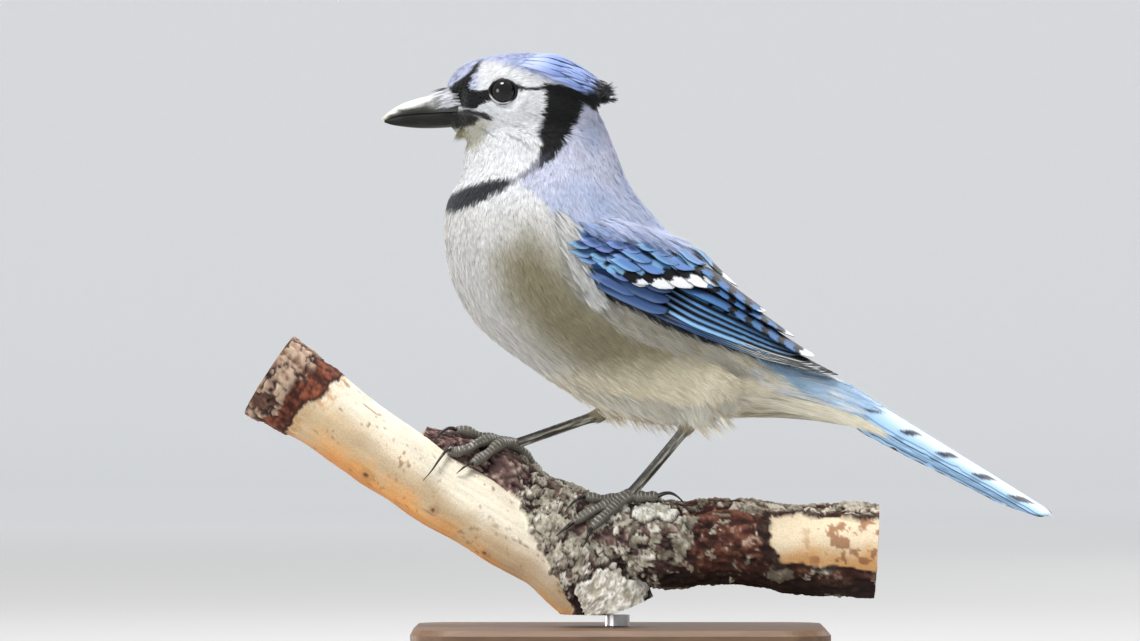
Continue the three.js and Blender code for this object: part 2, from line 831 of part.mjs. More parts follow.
function perch() {
  const start = bare.curve.getPoint(0.012);
  const startAhead = bare.frame(0.012).ahead;
  const end = barked.curve.getPoint(0.985);
  const endAhead = barked.frame(0.985).ahead;
  let wood = join([bare.body(14, 20), barked.body(14, 24)]);
  wood = keepSide(wood, start, startAhead, 0);
  wood = keepSide(wood, end, endAhead.negate(), 0);
  return wood.trimByPlane([0, 0, 1], TRUNK_CUT_Z);
}

// Legs

const LEGS = {
  left: {
    hip: [38, -15, 47],
    heel: [24.5, -13, 27],
    foot: [3.2, -7.5, 1.5],
    toes: [
      { name: "inner", end: [-13.2, -8.5, 0.6], claw: [-20, -10.5, -5] },
      { name: "middle", end: [-17, -14, -8], claw: [-23.8, -14.5, -13.6] },
      { name: "outer", end: [-10.5, -15.5, -10], claw: [-13.4, -17, -16.8] },
      { name: "hind", end: [14, -8.5, 2.6], claw: [24.8, -9.5, -1.2], raise: 1.1, arch: 4.4 },
    ],
  },
  right: {
    hip: [10, 15, 47],
    heel: [-7.5, 13, 30.5],
    foot: [-38.6, 6, 19.5],
    toes: [
      { name: "inner", end: [-53, -10.5, 14], claw: [-58.8, -14.5, 9.6] },
      { name: "middle", end: [-64, -7, 15.5], claw: [-71, -13, 7] },
      { name: "outer", end: [-59.5, 1, 24], claw: [-67, -1, 20.5] },
      { name: "hind", end: [-28.5, 12, 9], claw: [-23.5, 15, 2.5] },
    ],
  },
};
const TOE = { root: 1.75, tip: 1.25, steps: 5 };
const CLAW = { root: 1, tip: 0.22, arch: 1.9, steps: 4 };
const SHANK = { radius: 1.32, depth: 1.22, heel: 0.7, ankle: 0.3 };

const vec = ([x, y, z]) => new THREE.Vector3(x, y, z);

/** Points of a toe from the ball of the foot to its end, pressed down on the branch. */
function toePath(foot, end, lifted = 0) {
  return Array.from({ length: TOE.steps + 1 }, (_, i) => {
    const s = i / TOE.steps;
    const straight = foot.clone().lerp(end, s);
    const radius = lerp(TOE.root, TOE.tip, s);
    const height = radius + GAP + 0.25 + 0.9 * (1 - smooth(s, 0, 0.3)) + lifted * s;
    return onPerch(straight, height);
  });
}

const outwardAt = (p) => {
  const away = onPerch(p, perchDistance(p) + 1).sub(p);
  return away.normalize();
};

function clawPath(start, tip, arch) {
  return Array.from({ length: CLAW.steps + 1 }, (_, i) => {
    const s = i / CLAW.steps;
    const radius = lerp(CLAW.root, CLAW.tip, s);
    const height = radius + GAP + 0.2 + arch * Math.sin(Math.PI * (0.12 + 0.88 * s));
    return onPerch(start.clone().lerp(tip, s), height);
  });
}

function legParts(side, leg, nodes) {
  const heel = vec(leg.heel);
  const foot = onPerch(vec(leg.foot), TOE.root + GAP + 1.1);
  const toes = [];
  leg.toes.forEach((toe) => {
    const path = toePath(foot, vec(toe.end), toe.raise);
    const radii = path.map((_, i) => {
      const s = i / TOE.steps;
      return lerp(TOE.root, TOE.tip, s) * (1 + 0.14 * Math.cos(s * 5 * Math.PI));
    });
    const end = path[TOE.steps];
    const ahead = end.clone().sub(path[TOE.steps - 1]).normalize();
    toes.push(tube(path, radii, 6, outwardAt(end)));
    const start = end.clone().addScaledVector(ahead, GAP + 0.15);
    const claw = clawPath(start, vec(toe.claw), toe.arch ?? CLAW.arch);
    const clawRadii = claw.map((_, i) => lerp(CLAW.root, CLAW.tip, i / CLAW.steps));
    const shape = keepSide(tube(claw, clawRadii, 6, outwardAt(end)), end, ahead, GAP);
    nodes.push(meshOf(`claw_${side}_${toe.name}`, shape, COLOURS.black, 0.45));
  });
  const ankle = heel.clone().lerp(foot, 0.93);
  const shaft = heel.clone().sub(foot).normalize();
  const rows = 7;
  const points = Array.from({ length: rows }, (_, i) => heel.clone().lerp(ankle, i / (rows - 1)));
  const radii = points.map(
    (_, i) => SHANK.radius + SHANK.heel * Math.exp(-(i ** 2)) + SHANK.ankle * (i === rows - 1),
  );
  const across = new THREE.Vector3(0, 1, 0);
  const tarsus = tube(points, radii, 10, across, SHANK.depth);
  const socketPoints = [heel.clone().addScaledVector(shaft, GAP), ...points];
  const socketRadii = [radii[0], ...radii].map((r) => r + GAP + 0.08);
  const socket = tube(socketPoints, socketRadii, 10, across, SHANK.depth);
  const above = ankle.clone().addScaledVector(shaft, 1);
  const hub = join([ball(foot.x, foot.y, foot.z, 2.5, 10, 6), tube([above, foot], [1.7, 2.1], 8)]);
  const footBody = join([keepSide(hub, ankle, shaft.clone().negate()), ...toes]).subtract(socket);
  nodes.push(meshOf(`tarsus_${side}`, keepSide(tarsus, ankle, shaft), COLOURS.leg, 0.6));
  nodes.push(meshOf(`foot_${side}`, footBody, COLOURS.leg, 0.6));
  return socket;
}

/** Feathered thigh, from inside the belly to the heel. */
function thigh(leg, torsoGrown, socket) {
  const hip = vec(leg.hip);
  const heel = vec(leg.heel);
  const points = [0, 0.35, 0.65, 0.85, 0.97].map((s) => hip.clone().lerp(heel, s));
  const lobe = tube(points, [10, 9.5, 7, 4.9, 3.4], 14, new THREE.Vector3(0, 1, 0), 1.1);
  return lobe.subtract(join([torsoGrown, socket]));
}

// Stand

function standBase() {
  const shape = new THREE.Shape();
  const [x, y, r] = [BASE.length / 2, BASE.width / 2, BASE.corner];
  shape.moveTo(-x + r, -y);
  shape.lineTo(x - r, -y);
  shape.absarc(x - r, -y + r, r, -Math.PI / 2, 0);
  shape.lineTo(x, y - r);
  shape.absarc(x - r, y - r, r, 0, Math.PI / 2);
  shape.lineTo(-x + r, y);
  shape.absarc(-x + r, y - r, r, Math.PI / 2, Math.PI);
  shape.lineTo(-x, -y + r);
  shape.absarc(-x + r, -y + r, r, Math.PI, Math.PI * 1.5);
  const geometry = new THREE.ExtrudeGeometry(shape, {
    depth: BASE.height - 2,
    bevelEnabled: true,
    bevelThickness: 2,
    bevelSize: 2,
    bevelOffset: -2,
    bevelSegments: 1,
    curveSegments: 6,
  });
  geometry.translate(BASE.x, 0, BASE.top - BASE.height);
  return solid(geometry).trimByPlane([0, 0, 1], BASE.top - BASE.height);
}

function standRod() {
  const low = BASE.top + GAP;
  const high = TRUNK_CUT_Z - GAP;
  const rod = new THREE.CylinderGeometry(ROD.radius, ROD.radius, high - low, 20);
  rod.rotateX(Math.PI / 2).translate(ROD.x, ROD.y, (low + high) / 2);
  return solid(rod);
}

// Assembly

const root = new THREE.Group();
const nodes = [];

const whole = body.body(BODY_SIDES, BODY_ROWS);
const [neckPoint, neckAhead] = planeThrough(vec([NAPE[0], 0, NAPE[1]]), vec([CHIN[0], 0, CHIN[1]]));
const [torsoPoint, torsoAhead] = body.ringPlane(TORSO_AT);
const [rumpPoint, rumpAhead] = body.ringPlane(RUMP_AT);

const billGap = GAP + 0.12;
const billCut = join([mandible(BILL_UPPER, 1, billGap), mandible(BILL_LOWER, -1, billGap)]);
const mouth = mouthLine();
const eyeCut = ball(EYE.x, -EYE.y, EYE.z, EYE.radius + GAP);
const face = join([skull.body(SKULL_SIDES, SKULL_ROWS), whole]);
const lids = lidRing();
const tuft = nasalTuft();
const headWhole = keepSide(face, neckPoint, neckAhead.clone().negate());
const dressed = join([headWhole, lids, mirrored(lids), tuft, mirrored(tuft)]);
const head = dressed.subtract(join([billCut, eyeCut, mirrored(eyeCut), mouth, mirrored(mouth)]));
const crestBody = crest().subtract(skull.body(SKULL_SIDES, SKULL_ROWS, GAP));
const neckFree = keepSide(face, neckPoint, neckAhead);
const neck = keepSide(neckFree, torsoPoint, torsoAhead.clone().negate());
const torso = keepSide(keepSide(whole, torsoPoint, torsoAhead), rumpPoint, rumpAhead.clone().negate());
const rump = keepSide(whole, rumpPoint, rumpAhead);

nodes.push(meshOf("head", head, COLOURS.white));
nodes.push(meshOf("crest", crestBody, COLOURS.violet));
nodes.push(meshOf("bill_upper", mandible(BILL_UPPER, 1), COLOURS.bill, 0.35));
nodes.push(meshOf("bill_lower", mandible(BILL_LOWER, -1), COLOURS.bill, 0.35));
for (const [side, sign] of [["left", -1], ["right", 1]]) {
  nodes.push(meshOf(`eye_${side}`, ball(EYE.x, sign * EYE.y, EYE.z, EYE.radius), COLOURS.black, 0.05));
}
nodes.push(meshOf("neck", neck, COLOURS.violet));
nodes.push(meshOf("torso", torso, COLOURS.grey));
nodes.push(meshOf("tail", tail(rump), COLOURS.blue, 0.5));
const torsoGrown = body.body(BODY_SIDES, BODY_ROWS, GAP + 0.05);
const leftWing = wing().subtract(torsoGrown);
nodes.push(meshOf("wing_left", leftWing, COLOURS.blue, 0.5));
nodes.push(meshOf("wing_right", mirrored(leftWing), COLOURS.blue, 0.5));

for (const [side, leg] of Object.entries(LEGS)) {
  const socket = legParts(side, leg, nodes);
  nodes.push(meshOf(`thigh_${side}`, thigh(leg, torsoGrown, socket), COLOURS.grey));
}

nodes.push(meshOf("perch", perch(), COLOURS.bark, 0.9));
nodes.push(meshOf("stand_rod", standRod(), COLOURS.steel, 0.35, 0.9));
nodes.push(meshOf("stand_base", standBase(), COLOURS.walnut, 0.5));

nodes.forEach((mesh) => root.add(mesh));
const bounds = new THREE.Box3().setFromObject(root);
const middle = bounds.getCenter(new THREE.Vector3());
root.position.set(-middle.x, -middle.y, -bounds.min.z);

export default root;
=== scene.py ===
# A life-size blue jay on a cut branch with a plain display stand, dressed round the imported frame.
# Design millimetres are the bird's own: its middle plane is y = 0, it faces -X and its left side is -Y.
import math
from functools import partial
from itertools import product

import bpy
import numpy as np
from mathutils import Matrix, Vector, kdtree
from mathutils.bvhtree import BVHTree


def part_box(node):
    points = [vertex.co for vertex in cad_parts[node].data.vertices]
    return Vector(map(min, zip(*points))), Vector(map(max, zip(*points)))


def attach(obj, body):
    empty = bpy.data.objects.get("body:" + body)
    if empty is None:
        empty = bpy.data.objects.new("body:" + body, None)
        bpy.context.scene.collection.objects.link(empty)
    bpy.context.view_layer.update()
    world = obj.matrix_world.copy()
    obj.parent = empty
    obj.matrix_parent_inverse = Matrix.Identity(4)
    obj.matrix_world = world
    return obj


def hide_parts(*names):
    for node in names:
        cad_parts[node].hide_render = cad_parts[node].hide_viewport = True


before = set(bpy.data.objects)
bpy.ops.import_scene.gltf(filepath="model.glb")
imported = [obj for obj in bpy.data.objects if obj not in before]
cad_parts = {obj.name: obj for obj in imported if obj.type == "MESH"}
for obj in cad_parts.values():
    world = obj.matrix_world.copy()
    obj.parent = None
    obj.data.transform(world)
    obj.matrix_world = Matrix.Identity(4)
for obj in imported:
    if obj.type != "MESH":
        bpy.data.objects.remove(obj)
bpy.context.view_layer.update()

# The photograph: millimetres to a pixel in the bird's plane, the design origin's pixel and the frame
PIXEL = 0.36
ORIGIN_PX = (620, 500)
FRAME_CENTRE_PX = (570, 320.5)
FRAME_WIDTH_PX = 1140
LENS = 300
SENSOR = 36

# Studio, in metres: backdrop's reach, start, radius and height, and the floor's grey by distance
BACKDROP = (6.0, 3.9, 0.9, 6.0)
FLOOR_REACH = 5.0
FLOOR_TONES = [(0.0, 0.52), (0.3, 0.46), (0.8, 0.36), (1.5, 0.50), (2.2, 0.85), (3.2, 0.98)]
SKY_LIGHT = (0.93, 0.96, 1, 1)
SKY_STRENGTH = 0.64
# Lamps: name, place from the bird's middle, size, power and colour
LAMPS = [
    ("key", (-0.25, -0.35, 1.7), 0.7, 31, (1, 0.985, 0.96)),
    ("back", (0.9, 1.0, 0.8), 0.8, 14, (1, 0.99, 0.97)),
    ("rim", (-1.3, 0.9, -0.02), 0.8, 15, (1, 0.97, 0.9)),
    ("front", (-1.5, -1.3, 0.22), 1.0, 17, (0.985, 0.99, 1)),
]

# Body and head: points of the back and of the belly in the middle plane, and half width between them
BODY = [
    ((-17.5, 150), (-51, 134), 12.5),
    ((-8, 140.5), (-56, 126.5), 16.5),
    ((-1.5, 126.5), (-57, 117.5), 20),
    ((3.5, 114), (-62.5, 106.5), 24.5),
    ((11.5, 103.5), (-63.5, 94.5), 28),
    ((21, 93), (-61, 79), 29.5),
    ((30.5, 83), (-52, 63), 30),
    ((39.5, 73), (-33, 48), 28.5),
    ((48, 63.5), (-11.5, 34.5), 25.5),
    ((57, 54.5), (12.5, 27), 21),
    ((66, 47.5), (38, 29.5), 15.5),
    ((75, 42.5), (60, 29.5), 11),
    ((85, 38), (80, 28), 8),
]
HEAD = [
    ((-62.5, 149.5), (-62.5, 135), 5.4),
    ((-59.5, 154.5), (-59.5, 132.5), 8.4),
    ((-54, 158), (-55, 129.5), 11.4),
    ((-46, 160), (-48, 127), 14.2),
    ((-37, 160.6), (-40, 125), 16),
    ((-28, 159.6), (-30.5, 124), 16.6),
    ((-19.5, 156.4), (-21.5, 124), 16.2),
    ((-12.5, 151.5), (-13.5, 126), 14.2),
    ((-8, 145), (-8.5, 131), 9.5),
]
# Crest: ridge point, half width and how far its sides drop
CREST = [
    ((-46, 160.4), 9, 3),
    ((-34, 161.3), 14.8, 7),
    ((-24, 159.9), 16.8, 10.5),
    ((-15, 156), 15.6, 11),
    ((-8, 151.2), 11.5, 8.5),
    ((-3.5, 148), 6, 4.5),
]
# Tiers of the crest's feathers from the lowest one: share of its arch at root and tip, and count
CREST_TIERS = [(0.6, 0.99, 9), (0.48, 0.92, 11), (0.36, 0.8, 11), (0.24, 0.66, 11)]
# Mandibles: top and base points in the middle plane, and half width
BILL_UPPER = [
    ((-85.6, 137.6), (-85.6, 136.9), 0.5),
    ((-82.5, 140.2), (-82.5, 137.4), 1.3),
    ((-78.2, 142.7), (-78.2, 138.4), 2.5),
    ((-73.2, 144.4), (-73.2, 139), 3.5),
    ((-68.4, 145.7), (-68.4, 139.3), 4.4),
    ((-63, 147.2), (-62.5, 139.6), 5.3),
    ((-57, 148), (-54.5, 139.9), 5.9),
]
BILL_LOWER = [
    ((-84.8, 136.9), (-84.8, 135.9), 0.4),
    ((-82, 137.5), (-82, 135), 1.2),
    ((-78.2, 138.5), (-78.2, 134.4), 2.3),
    ((-73.2, 139.1), (-73.2, 133.9), 3.3),
    ((-68.4, 139.4), (-68.4, 133.8), 4.2),
    ((-63, 139.7), (-63, 134), 5.1),
    ((-54.5, 140.0), (-55.5, 134.6), 5.6),
]
# Middle and radius of the eye, and the ends of the tail's line in x and z
EYE = np.array([-42, 10.6, 146.8])
EYE_RADIUS = 5.2
TAIL_ROOT = (82, 42.3)
TAIL_TIP = (157, -4.9)
# Limbs of the branch: x, y, z and radius
LIMB_BARE = [
    (-128, -1, 46, 15.2),
    (-108, -2, 33, 13.8),
    (-86, -3, 17.5, 13.4),
    (-65, -4, 3.5, 13),
    (-43, -4, -9.5, 13),
    (-22, -3, -22, 13.6),
    (-6, -1, -37, 15.4),
    (-1, 0, -60, 16.4),
]
LIMB_BARK = [
    (-72, 3, 22.5, 4),
    (-61, 4, 16.5, 8),
    (-47, 4, 8, 11.2),
    (-29, 3, -4, 12.6),
    (-11, 1, -12.6, 14.4),
    (11, 0, -16, 15.6),
    (36, 0, -15.5, 14.8),
    (65, 0, -17.3, 15.6),
    (96, 0, -19, 16.6),
]
TRUNK_CUT_Z = -41
# Cut ends: rings of points, and the tones of early wood, late wood and rim
CUT_RINGS = 26
CUT_TONES = ((0.74, 0.65, 0.52), (0.62, 0.51, 0.38), (0.42, 0.30, 0.23))
# Legs: height of a foot's middle over the branch, and for each side the joints and the toes. A toe has
# its end, its claw's tip, how much its end is lifted and how high its claw arches.
FOOT_HEIGHT = 1.75 + 0.3 + 1.1
LEGS = {
    "left": {
        "hip": (38, -15, 47),
        "heel": (24.5, -13, 27),
        "foot": (3.2, -7.5, 1.5),
        "toes": [
            ("inner", (-13.2, -8.5, 0.6), (-20, -10.5, -5), 0, 1.9),
            ("middle", (-17, -14, -8), (-23.8, -14.5, -13.6), 0, 1.9),
            ("outer", (-10.5, -15.5, -10), (-13.4, -17, -16.8), 0, 1.9),
            ("hind", (14, -8.5, 2.6), (24.8, -9.5, -1.2), 1.1, 4.4),
        ],
    },
    "right": {
        "hip": (10, 15, 47),
        "heel": (-7.5, 13, 30.5),
        "foot": (-38.6, 6, 19.5),
        "toes": [
            ("inner", (-53, -10.5, 14), (-58.8, -14.5, 9.6), 0, 1.9),
            ("middle", (-64, -7, 15.5), (-71, -13, 7), 0, 1.9),
            ("outer", (-59.5, 1, 24), (-67, -1, 20.5), 0, 1.9),
            ("hind", (-28.5, 12, 9), (-23.5, 15, 2.5), 0, 1.9),
        ],
    },
}

# Colours, as seen
WHITE = (0.93, 0.935, 0.94)
BREAST = (0.86, 0.855, 0.845)
# The belly's grey-brown is partly its own wash and partly painted shade
BELLY_GREY_AND_SHADE = (0.58, 0.55, 0.44)
# The lower belly's pale cream is partly its own colour and partly painted rim light
UNDERSIDE_AND_RIM_LIGHT = (0.97, 0.925, 0.80)
BLACK = (0.035, 0.037, 0.045)
LILAC = (0.835, 0.845, 0.92)
NAPE = (0.66, 0.685, 0.81)
CROWN = (0.69, 0.735, 0.88)
CREST_DEEP = (0.47, 0.56, 0.78)
SHOULDER = (0.30, 0.52, 0.80)
RUMP = (0.69, 0.815, 0.92)
CHIN_TINT = (0.72, 0.70, 0.58)
INK = np.array((0.035, 0.035, 0.06))
NAVY = np.array((0.15, 0.24, 0.41))
AZURE = np.array((0.30, 0.49, 0.70))
SKY = np.array((0.50, 0.69, 0.85))
PALE_SKY = np.array((0.62, 0.80, 0.94))
SLATE = np.array((0.20, 0.29, 0.45))
PERIWINKLE = np.array((0.44, 0.54, 0.77))
LESSER_TIP = (0.50, 0.58, 0.84)
LESSER_DARK = (0.06, 0.09, 0.2)
STRIP_END = (0.80, 0.84, 0.88)
# Paler streak beside each tail shaft: partly its own pale blue, partly painted highlight
TAIL_PALE_AND_HIGHLIGHT = (0.90, 0.94, 0.97)
TAIL_BASE = (0.55, 0.72, 0.92)
TAIL_BLOT = (0.12, 0.14, 0.20)
TAIL_SHAFT = (0.15, 0.17, 0.22)
TAIL_INNER = (0.70, 0.80, 0.90)
TAIL_SIDE = (0.60, 0.76, 0.92)
TAIL_COVERT = (0.72, 0.84, 0.94)
TAIL_WISP = (0.90, 0.92, 0.94)
VENT_COVERT = (0.985, 0.96, 0.88)
CREST_EDGE = (0.62, 0.68, 0.88)
FOREHEAD = (0.80, 0.82, 0.93)
# Painted shadow under the wing's lower edge
PAINTED_WING_SHADOW = (0.07, 0.08, 0.11)
CHEEK_STREAK = (0.45, 0.46, 0.48)
CHIN_DARK = (0.22, 0.21, 0.18)
CHIN_PALE = (0.70, 0.68, 0.52)
NAPE_DARK = (0.06, 0.06, 0.08)
PRIMARY = ((0.07, 0.07, 0.09), (0.20, 0.20, 0.22))
PRIMARY_EDGE = ((0.84, 0.85, 0.84), (0.26, 0.40, 0.60))
# Tail blue, paler in the middle: partly its own blue, partly painted highlight
TAIL_BLUE_AND_HIGHLIGHT = ((0.86, 0.92, 0.965), (0.68, 0.82, 0.94))
FLECK = ((0.76, 0.79, 0.91), (0.30, 0.33, 0.48))
# Bill, eyes and legs. Pairs run from dark to light
TOE_ROOT = ((0.27, 0.25, 0.25), (0.42, 0.39, 0.37))
CLAW = ((0.10, 0.09, 0.09), (0.22, 0.2, 0.19))
SCALE = ((0.37, 0.355, 0.325), (0.80, 0.78, 0.72))
LID = ((0.03, 0.03, 0.035), (0.88, 0.89, 0.90))
# Upper mandible from its dark horn to a pale top, which is a painted highlight
HORN_AND_RIDGE_HIGHLIGHT = ((0.15, 0.155, 0.14), (0.88, 0.88, 0.87))
HORN_DARK = ((0.035, 0.04, 0.03), (0.11, 0.115, 0.08))
SCALE_SIDE = (0.48, 0.46, 0.42)
SCALE_EDGE = (0.62, 0.60, 0.54)
SHANK_DARK = (0.17, 0.165, 0.155)
SHANK_PALE = (0.78, 0.77, 0.70)
HORN_BASE = (0.42, 0.42, 0.42)
HORN_TIP = (0.86, 0.82, 0.72)
# Wood, bark and lichen. Pairs run from deep to raised places or from pale to darker lower places; on the
# bare wood the darker tone is painted shade
WOOD_PALE_AND_SHADE = ((0.93, 0.89, 0.81), (0.82, 0.72, 0.58))
INNER_BARK = ((0.24, 0.125, 0.10), (0.55, 0.31, 0.22))
HUSK = ((0.36, 0.25, 0.21), (0.76, 0.66, 0.57))
ROT = ((0.08, 0.06, 0.055), (0.24, 0.17, 0.14))
BARK_DEEP = ((0.30, 0.225, 0.22), (0.24, 0.135, 0.11))
BARK_PALE = ((0.58, 0.47, 0.44), (0.50, 0.32, 0.25))
LICHEN_LEAF = ((0.70, 0.67, 0.60), (0.96, 0.95, 0.91))
PATCH_WOOD = ((0.91, 0.84, 0.72), (0.84, 0.64, 0.42))
LICHEN_GREY = ((0.44, 0.405, 0.35), (0.76, 0.73, 0.66))
LICHEN_CREAM = ((0.60, 0.57, 0.50), (0.93, 0.91, 0.86))
LICHEN_TAN = ((0.50, 0.455, 0.39), (0.86, 0.82, 0.75))
WOOD_STAIN = (0.90, 0.64, 0.37)
WOOD_RUST = (0.70, 0.44, 0.25)
WOOD_CRACK = (0.42, 0.30, 0.22)
WOOD_SPECK = (0.52, 0.40, 0.30)
KNOT = (0.36, 0.24, 0.17)
KNOT_RIM = (0.66, 0.50, 0.36)
HUSK_FURROW = (0.14, 0.09, 0.08)
HUSK_RIM = (0.16, 0.10, 0.08)
HALO = (0.72, 0.50, 0.30)
BARK_FLAKE = (0.76, 0.71, 0.64)
BARK_FURROW = (0.13, 0.09, 0.085)
BARK_PIT = (0.15, 0.105, 0.10)
# Painted shade under the barked limb
BARK_UNDERSIDE_SHADE = (0.12, 0.085, 0.07)
LICHEN_CRACK = (0.42, 0.38, 0.32)
LICHEN_RIM = (0.15, 0.11, 0.10)
PATCH_MARK = (0.55, 0.36, 0.24)
PATCH_RIM = (0.15, 0.10, 0.08)
CUT_CHECK = (0.30, 0.24, 0.18)
# Eyes and display stand, as their shaders take them. Pairs run from dark to light
EYE_WET = ((0.002, 0.002, 0.002), (0.007, 0.005, 0.005))
STAND_STEEL = ((0.45, 0.45, 0.46), (0.6, 0.6, 0.62))
STAND_WOOD = ((0.10, 0.055, 0.03), (0.24, 0.14, 0.08))

# Outlines of the markings as seen from the left, in pixels of the photograph
CROWN_PX = [
    (478, 66), (490, 60), (504, 63), (530, 73), (556, 84), (582, 93), (612, 106), (640, 60), (540, 20),
    (470, 40),
]
LORE_PX = [
    (448, 88), (458, 82), (469, 74), (477, 64), (483, 60), (475, 73), (471, 82), (470, 88), (479, 92.5),
    (492, 90), (495, 100), (482, 106), (475, 110), (461, 107), (454, 98),
]
EYE_LINE_PX = [
    (508, 84), (517, 85.5), (525, 88), (541, 88), (552, 85), (552, 90), (541, 91.5), (525, 91), (514, 90),
]
COLLAR_PX = [
    (546, 84), (556, 86), (570, 89), (582, 93), (598, 103), (612, 110), (596, 112), (587, 105),
    (582, 115), (577, 125), (572, 134), (564, 148), (553, 163), (539, 170), (541, 155), (543, 145),
    (541, 136), (543, 125), (546, 113), (548, 103), (547, 94),
]
LINK_PX = [(556, 152), (543, 168), (528, 177), (506, 190), (500, 184), (516, 179), (528, 172), (541, 158)]
NECKLACE_PX = [
    (509, 182), (493, 183), (481, 185), (466, 189), (455, 194), (436, 206), (436, 214), (454, 214),
    (466, 210), (481, 204), (490, 198), (502, 194), (508, 188),
]
MANTLE_PX = [
    (560, 60), (571, 125), (560, 145), (550, 160), (537, 168), (526, 175), (519, 184), (530, 193),
    (546, 206), (560, 222), (572, 238), (584, 262), (598, 284), (640, 304), (668, 318), (722, 338),
    (752, 354), (764, 366), (787, 380), (804, 393), (820, 404), (856, 421), (930, 440), (930, 340),
    (820, 300), (700, 180), (640, 60),
]
SHOULDER_PX = [
    (568, 232), (592, 232), (640, 240), (690, 262), (700, 300), (640, 302), (600, 284), (582, 262),
]
# Band of painted shadow along the wing's lower edge
PAINTED_WING_SHADOW_PX = [
    (584, 268), (598, 286), (636, 303), (667, 319), (722, 339), (763, 352), (790, 360), (790, 366),
    (722, 349), (667, 329), (636, 313), (596, 297), (580, 276),
]
GAPE_PX = [
    (452, 110), (470, 110.5), (484, 113), (493, 118), (491, 122), (482, 118), (470, 114), (452, 114),
]
JAW_PX = [(440, 114), (470, 113.5), (481, 119), (474, 125.5), (462, 129.5), (440, 131)]
CREST_END_PX = [(596, 70), (616, 76), (622, 114), (590, 109), (585, 98), (597, 92)]
CHEEK_PX = [(474, 112), (500, 112), (545, 116), (543, 150), (505, 165), (478, 140)]
# Outline of the belly's grey-brown wash, which holds painted shade too
BELLY_GREY_AND_SHADE_PX = [
    (500, 262), (530, 240), (556, 262), (600, 305), (680, 335), (745, 365), (742, 382), (690, 372),
    (640, 385), (590, 378), (545, 345), (508, 300),
]
CHIN_PX = [(428, 112), (478, 116), (490, 124), (478, 150), (462, 150), (430, 130)]
RUMP_START_PX = 690
WING_COVER_PX = [
    (592, 262), (640, 262), (700, 276), (745, 300), (790, 340), (790, 356), (722, 340), (668, 320),
    (636, 304), (602, 286),
]

# Dark marks in the order in which they cover each other: outline, colour, soft edge and strength
DARK_MARKS = [
    (JAW_PX, (0.10, 0.10, 0.085), 2.2, 0.92),
    (GAPE_PX, (0.12, 0.12, 0.13), 1.2, 0.9),
    (LORE_PX, BLACK, 1.3, 1),
    (EYE_LINE_PX, BLACK, 1.2, 0.9),
    (COLLAR_PX, BLACK, 1.6, 1),
    (LINK_PX, (0.33, 0.34, 0.4), 3.0, 0.65),
    (NECKLACE_PX, (0.13, 0.14, 0.16), 2.4, 0.95),
]

# Vanes: thickness, and the length of a face along a wing feather
VANE_THICKNESS = 0.16
VANE_STEP = 0.58

# Folded wing under its feathers: height, upper and lower edge in degrees, by station of the body
WING_TOP = ([4.1, 4.5, 4.9, 5.3, 5.6, 6.2, 6.6, 6.95, 9.4], [0.3, 1.0, 1.5, 1.5, 1.3, 1.1, 0.9, 0.5, 0.4])
WING_LOWER = ([4.1, 4.6, 5.4, 6.2, 7, 8, 9, 9.4], [74, 84, 86, 81, 72, 57, 39, 31])
WING_UPPER = ([4.1, 4.6, 5.4, 6.2, 7, 9.4], [52, 32, 20, 13, 9, 8])
WING_EDGE = 0.5
WING_UNDER = -2.5

# Thigh: its radius by the share of the way down
THIGH = ([0, 0.35, 0.65, 0.85, 0.97], [10, 9.5, 7, 4.9, 3.2])

# Coat: its depth, and the radii of the eye's socket and of the lids
COAT_DEPTH = 0.9
SOCKET = 4.3
LID_EDGE = 6.6

# Pieces of the coat from the bill back: name, where each ends along a slanted line, and its slot
COAT_REGIONS = [
    ("face", -133, "plumage_white"),
    ("head", -118, "plumage_white"),
    ("nape", -100, "plumage_violet"),
    ("collar", -80, "plumage_violet"),
    ("breast", -60, "plumage_grey"),
    ("shoulder", -42, "plumage_grey"),
    ("belly", -26, "plumage_grey"),
    ("flank", -10, "plumage_grey"),
    ("vent", np.inf, "plumage_grey"),
]

# Heights over the body at which the wing's map is made
LIFTS = np.arange(0, 10.1, 1.0)

# Closed tail: sizes in millimetres, and the slopes of its arch in degrees
TAIL = {
    "length": 88,
    "pairs": 6,
    "roof": 14,
    "steep": 76,
    "reach": 17,
    "stack": 0.3,
    "sunk": 5.5,
    "start": -10,
}

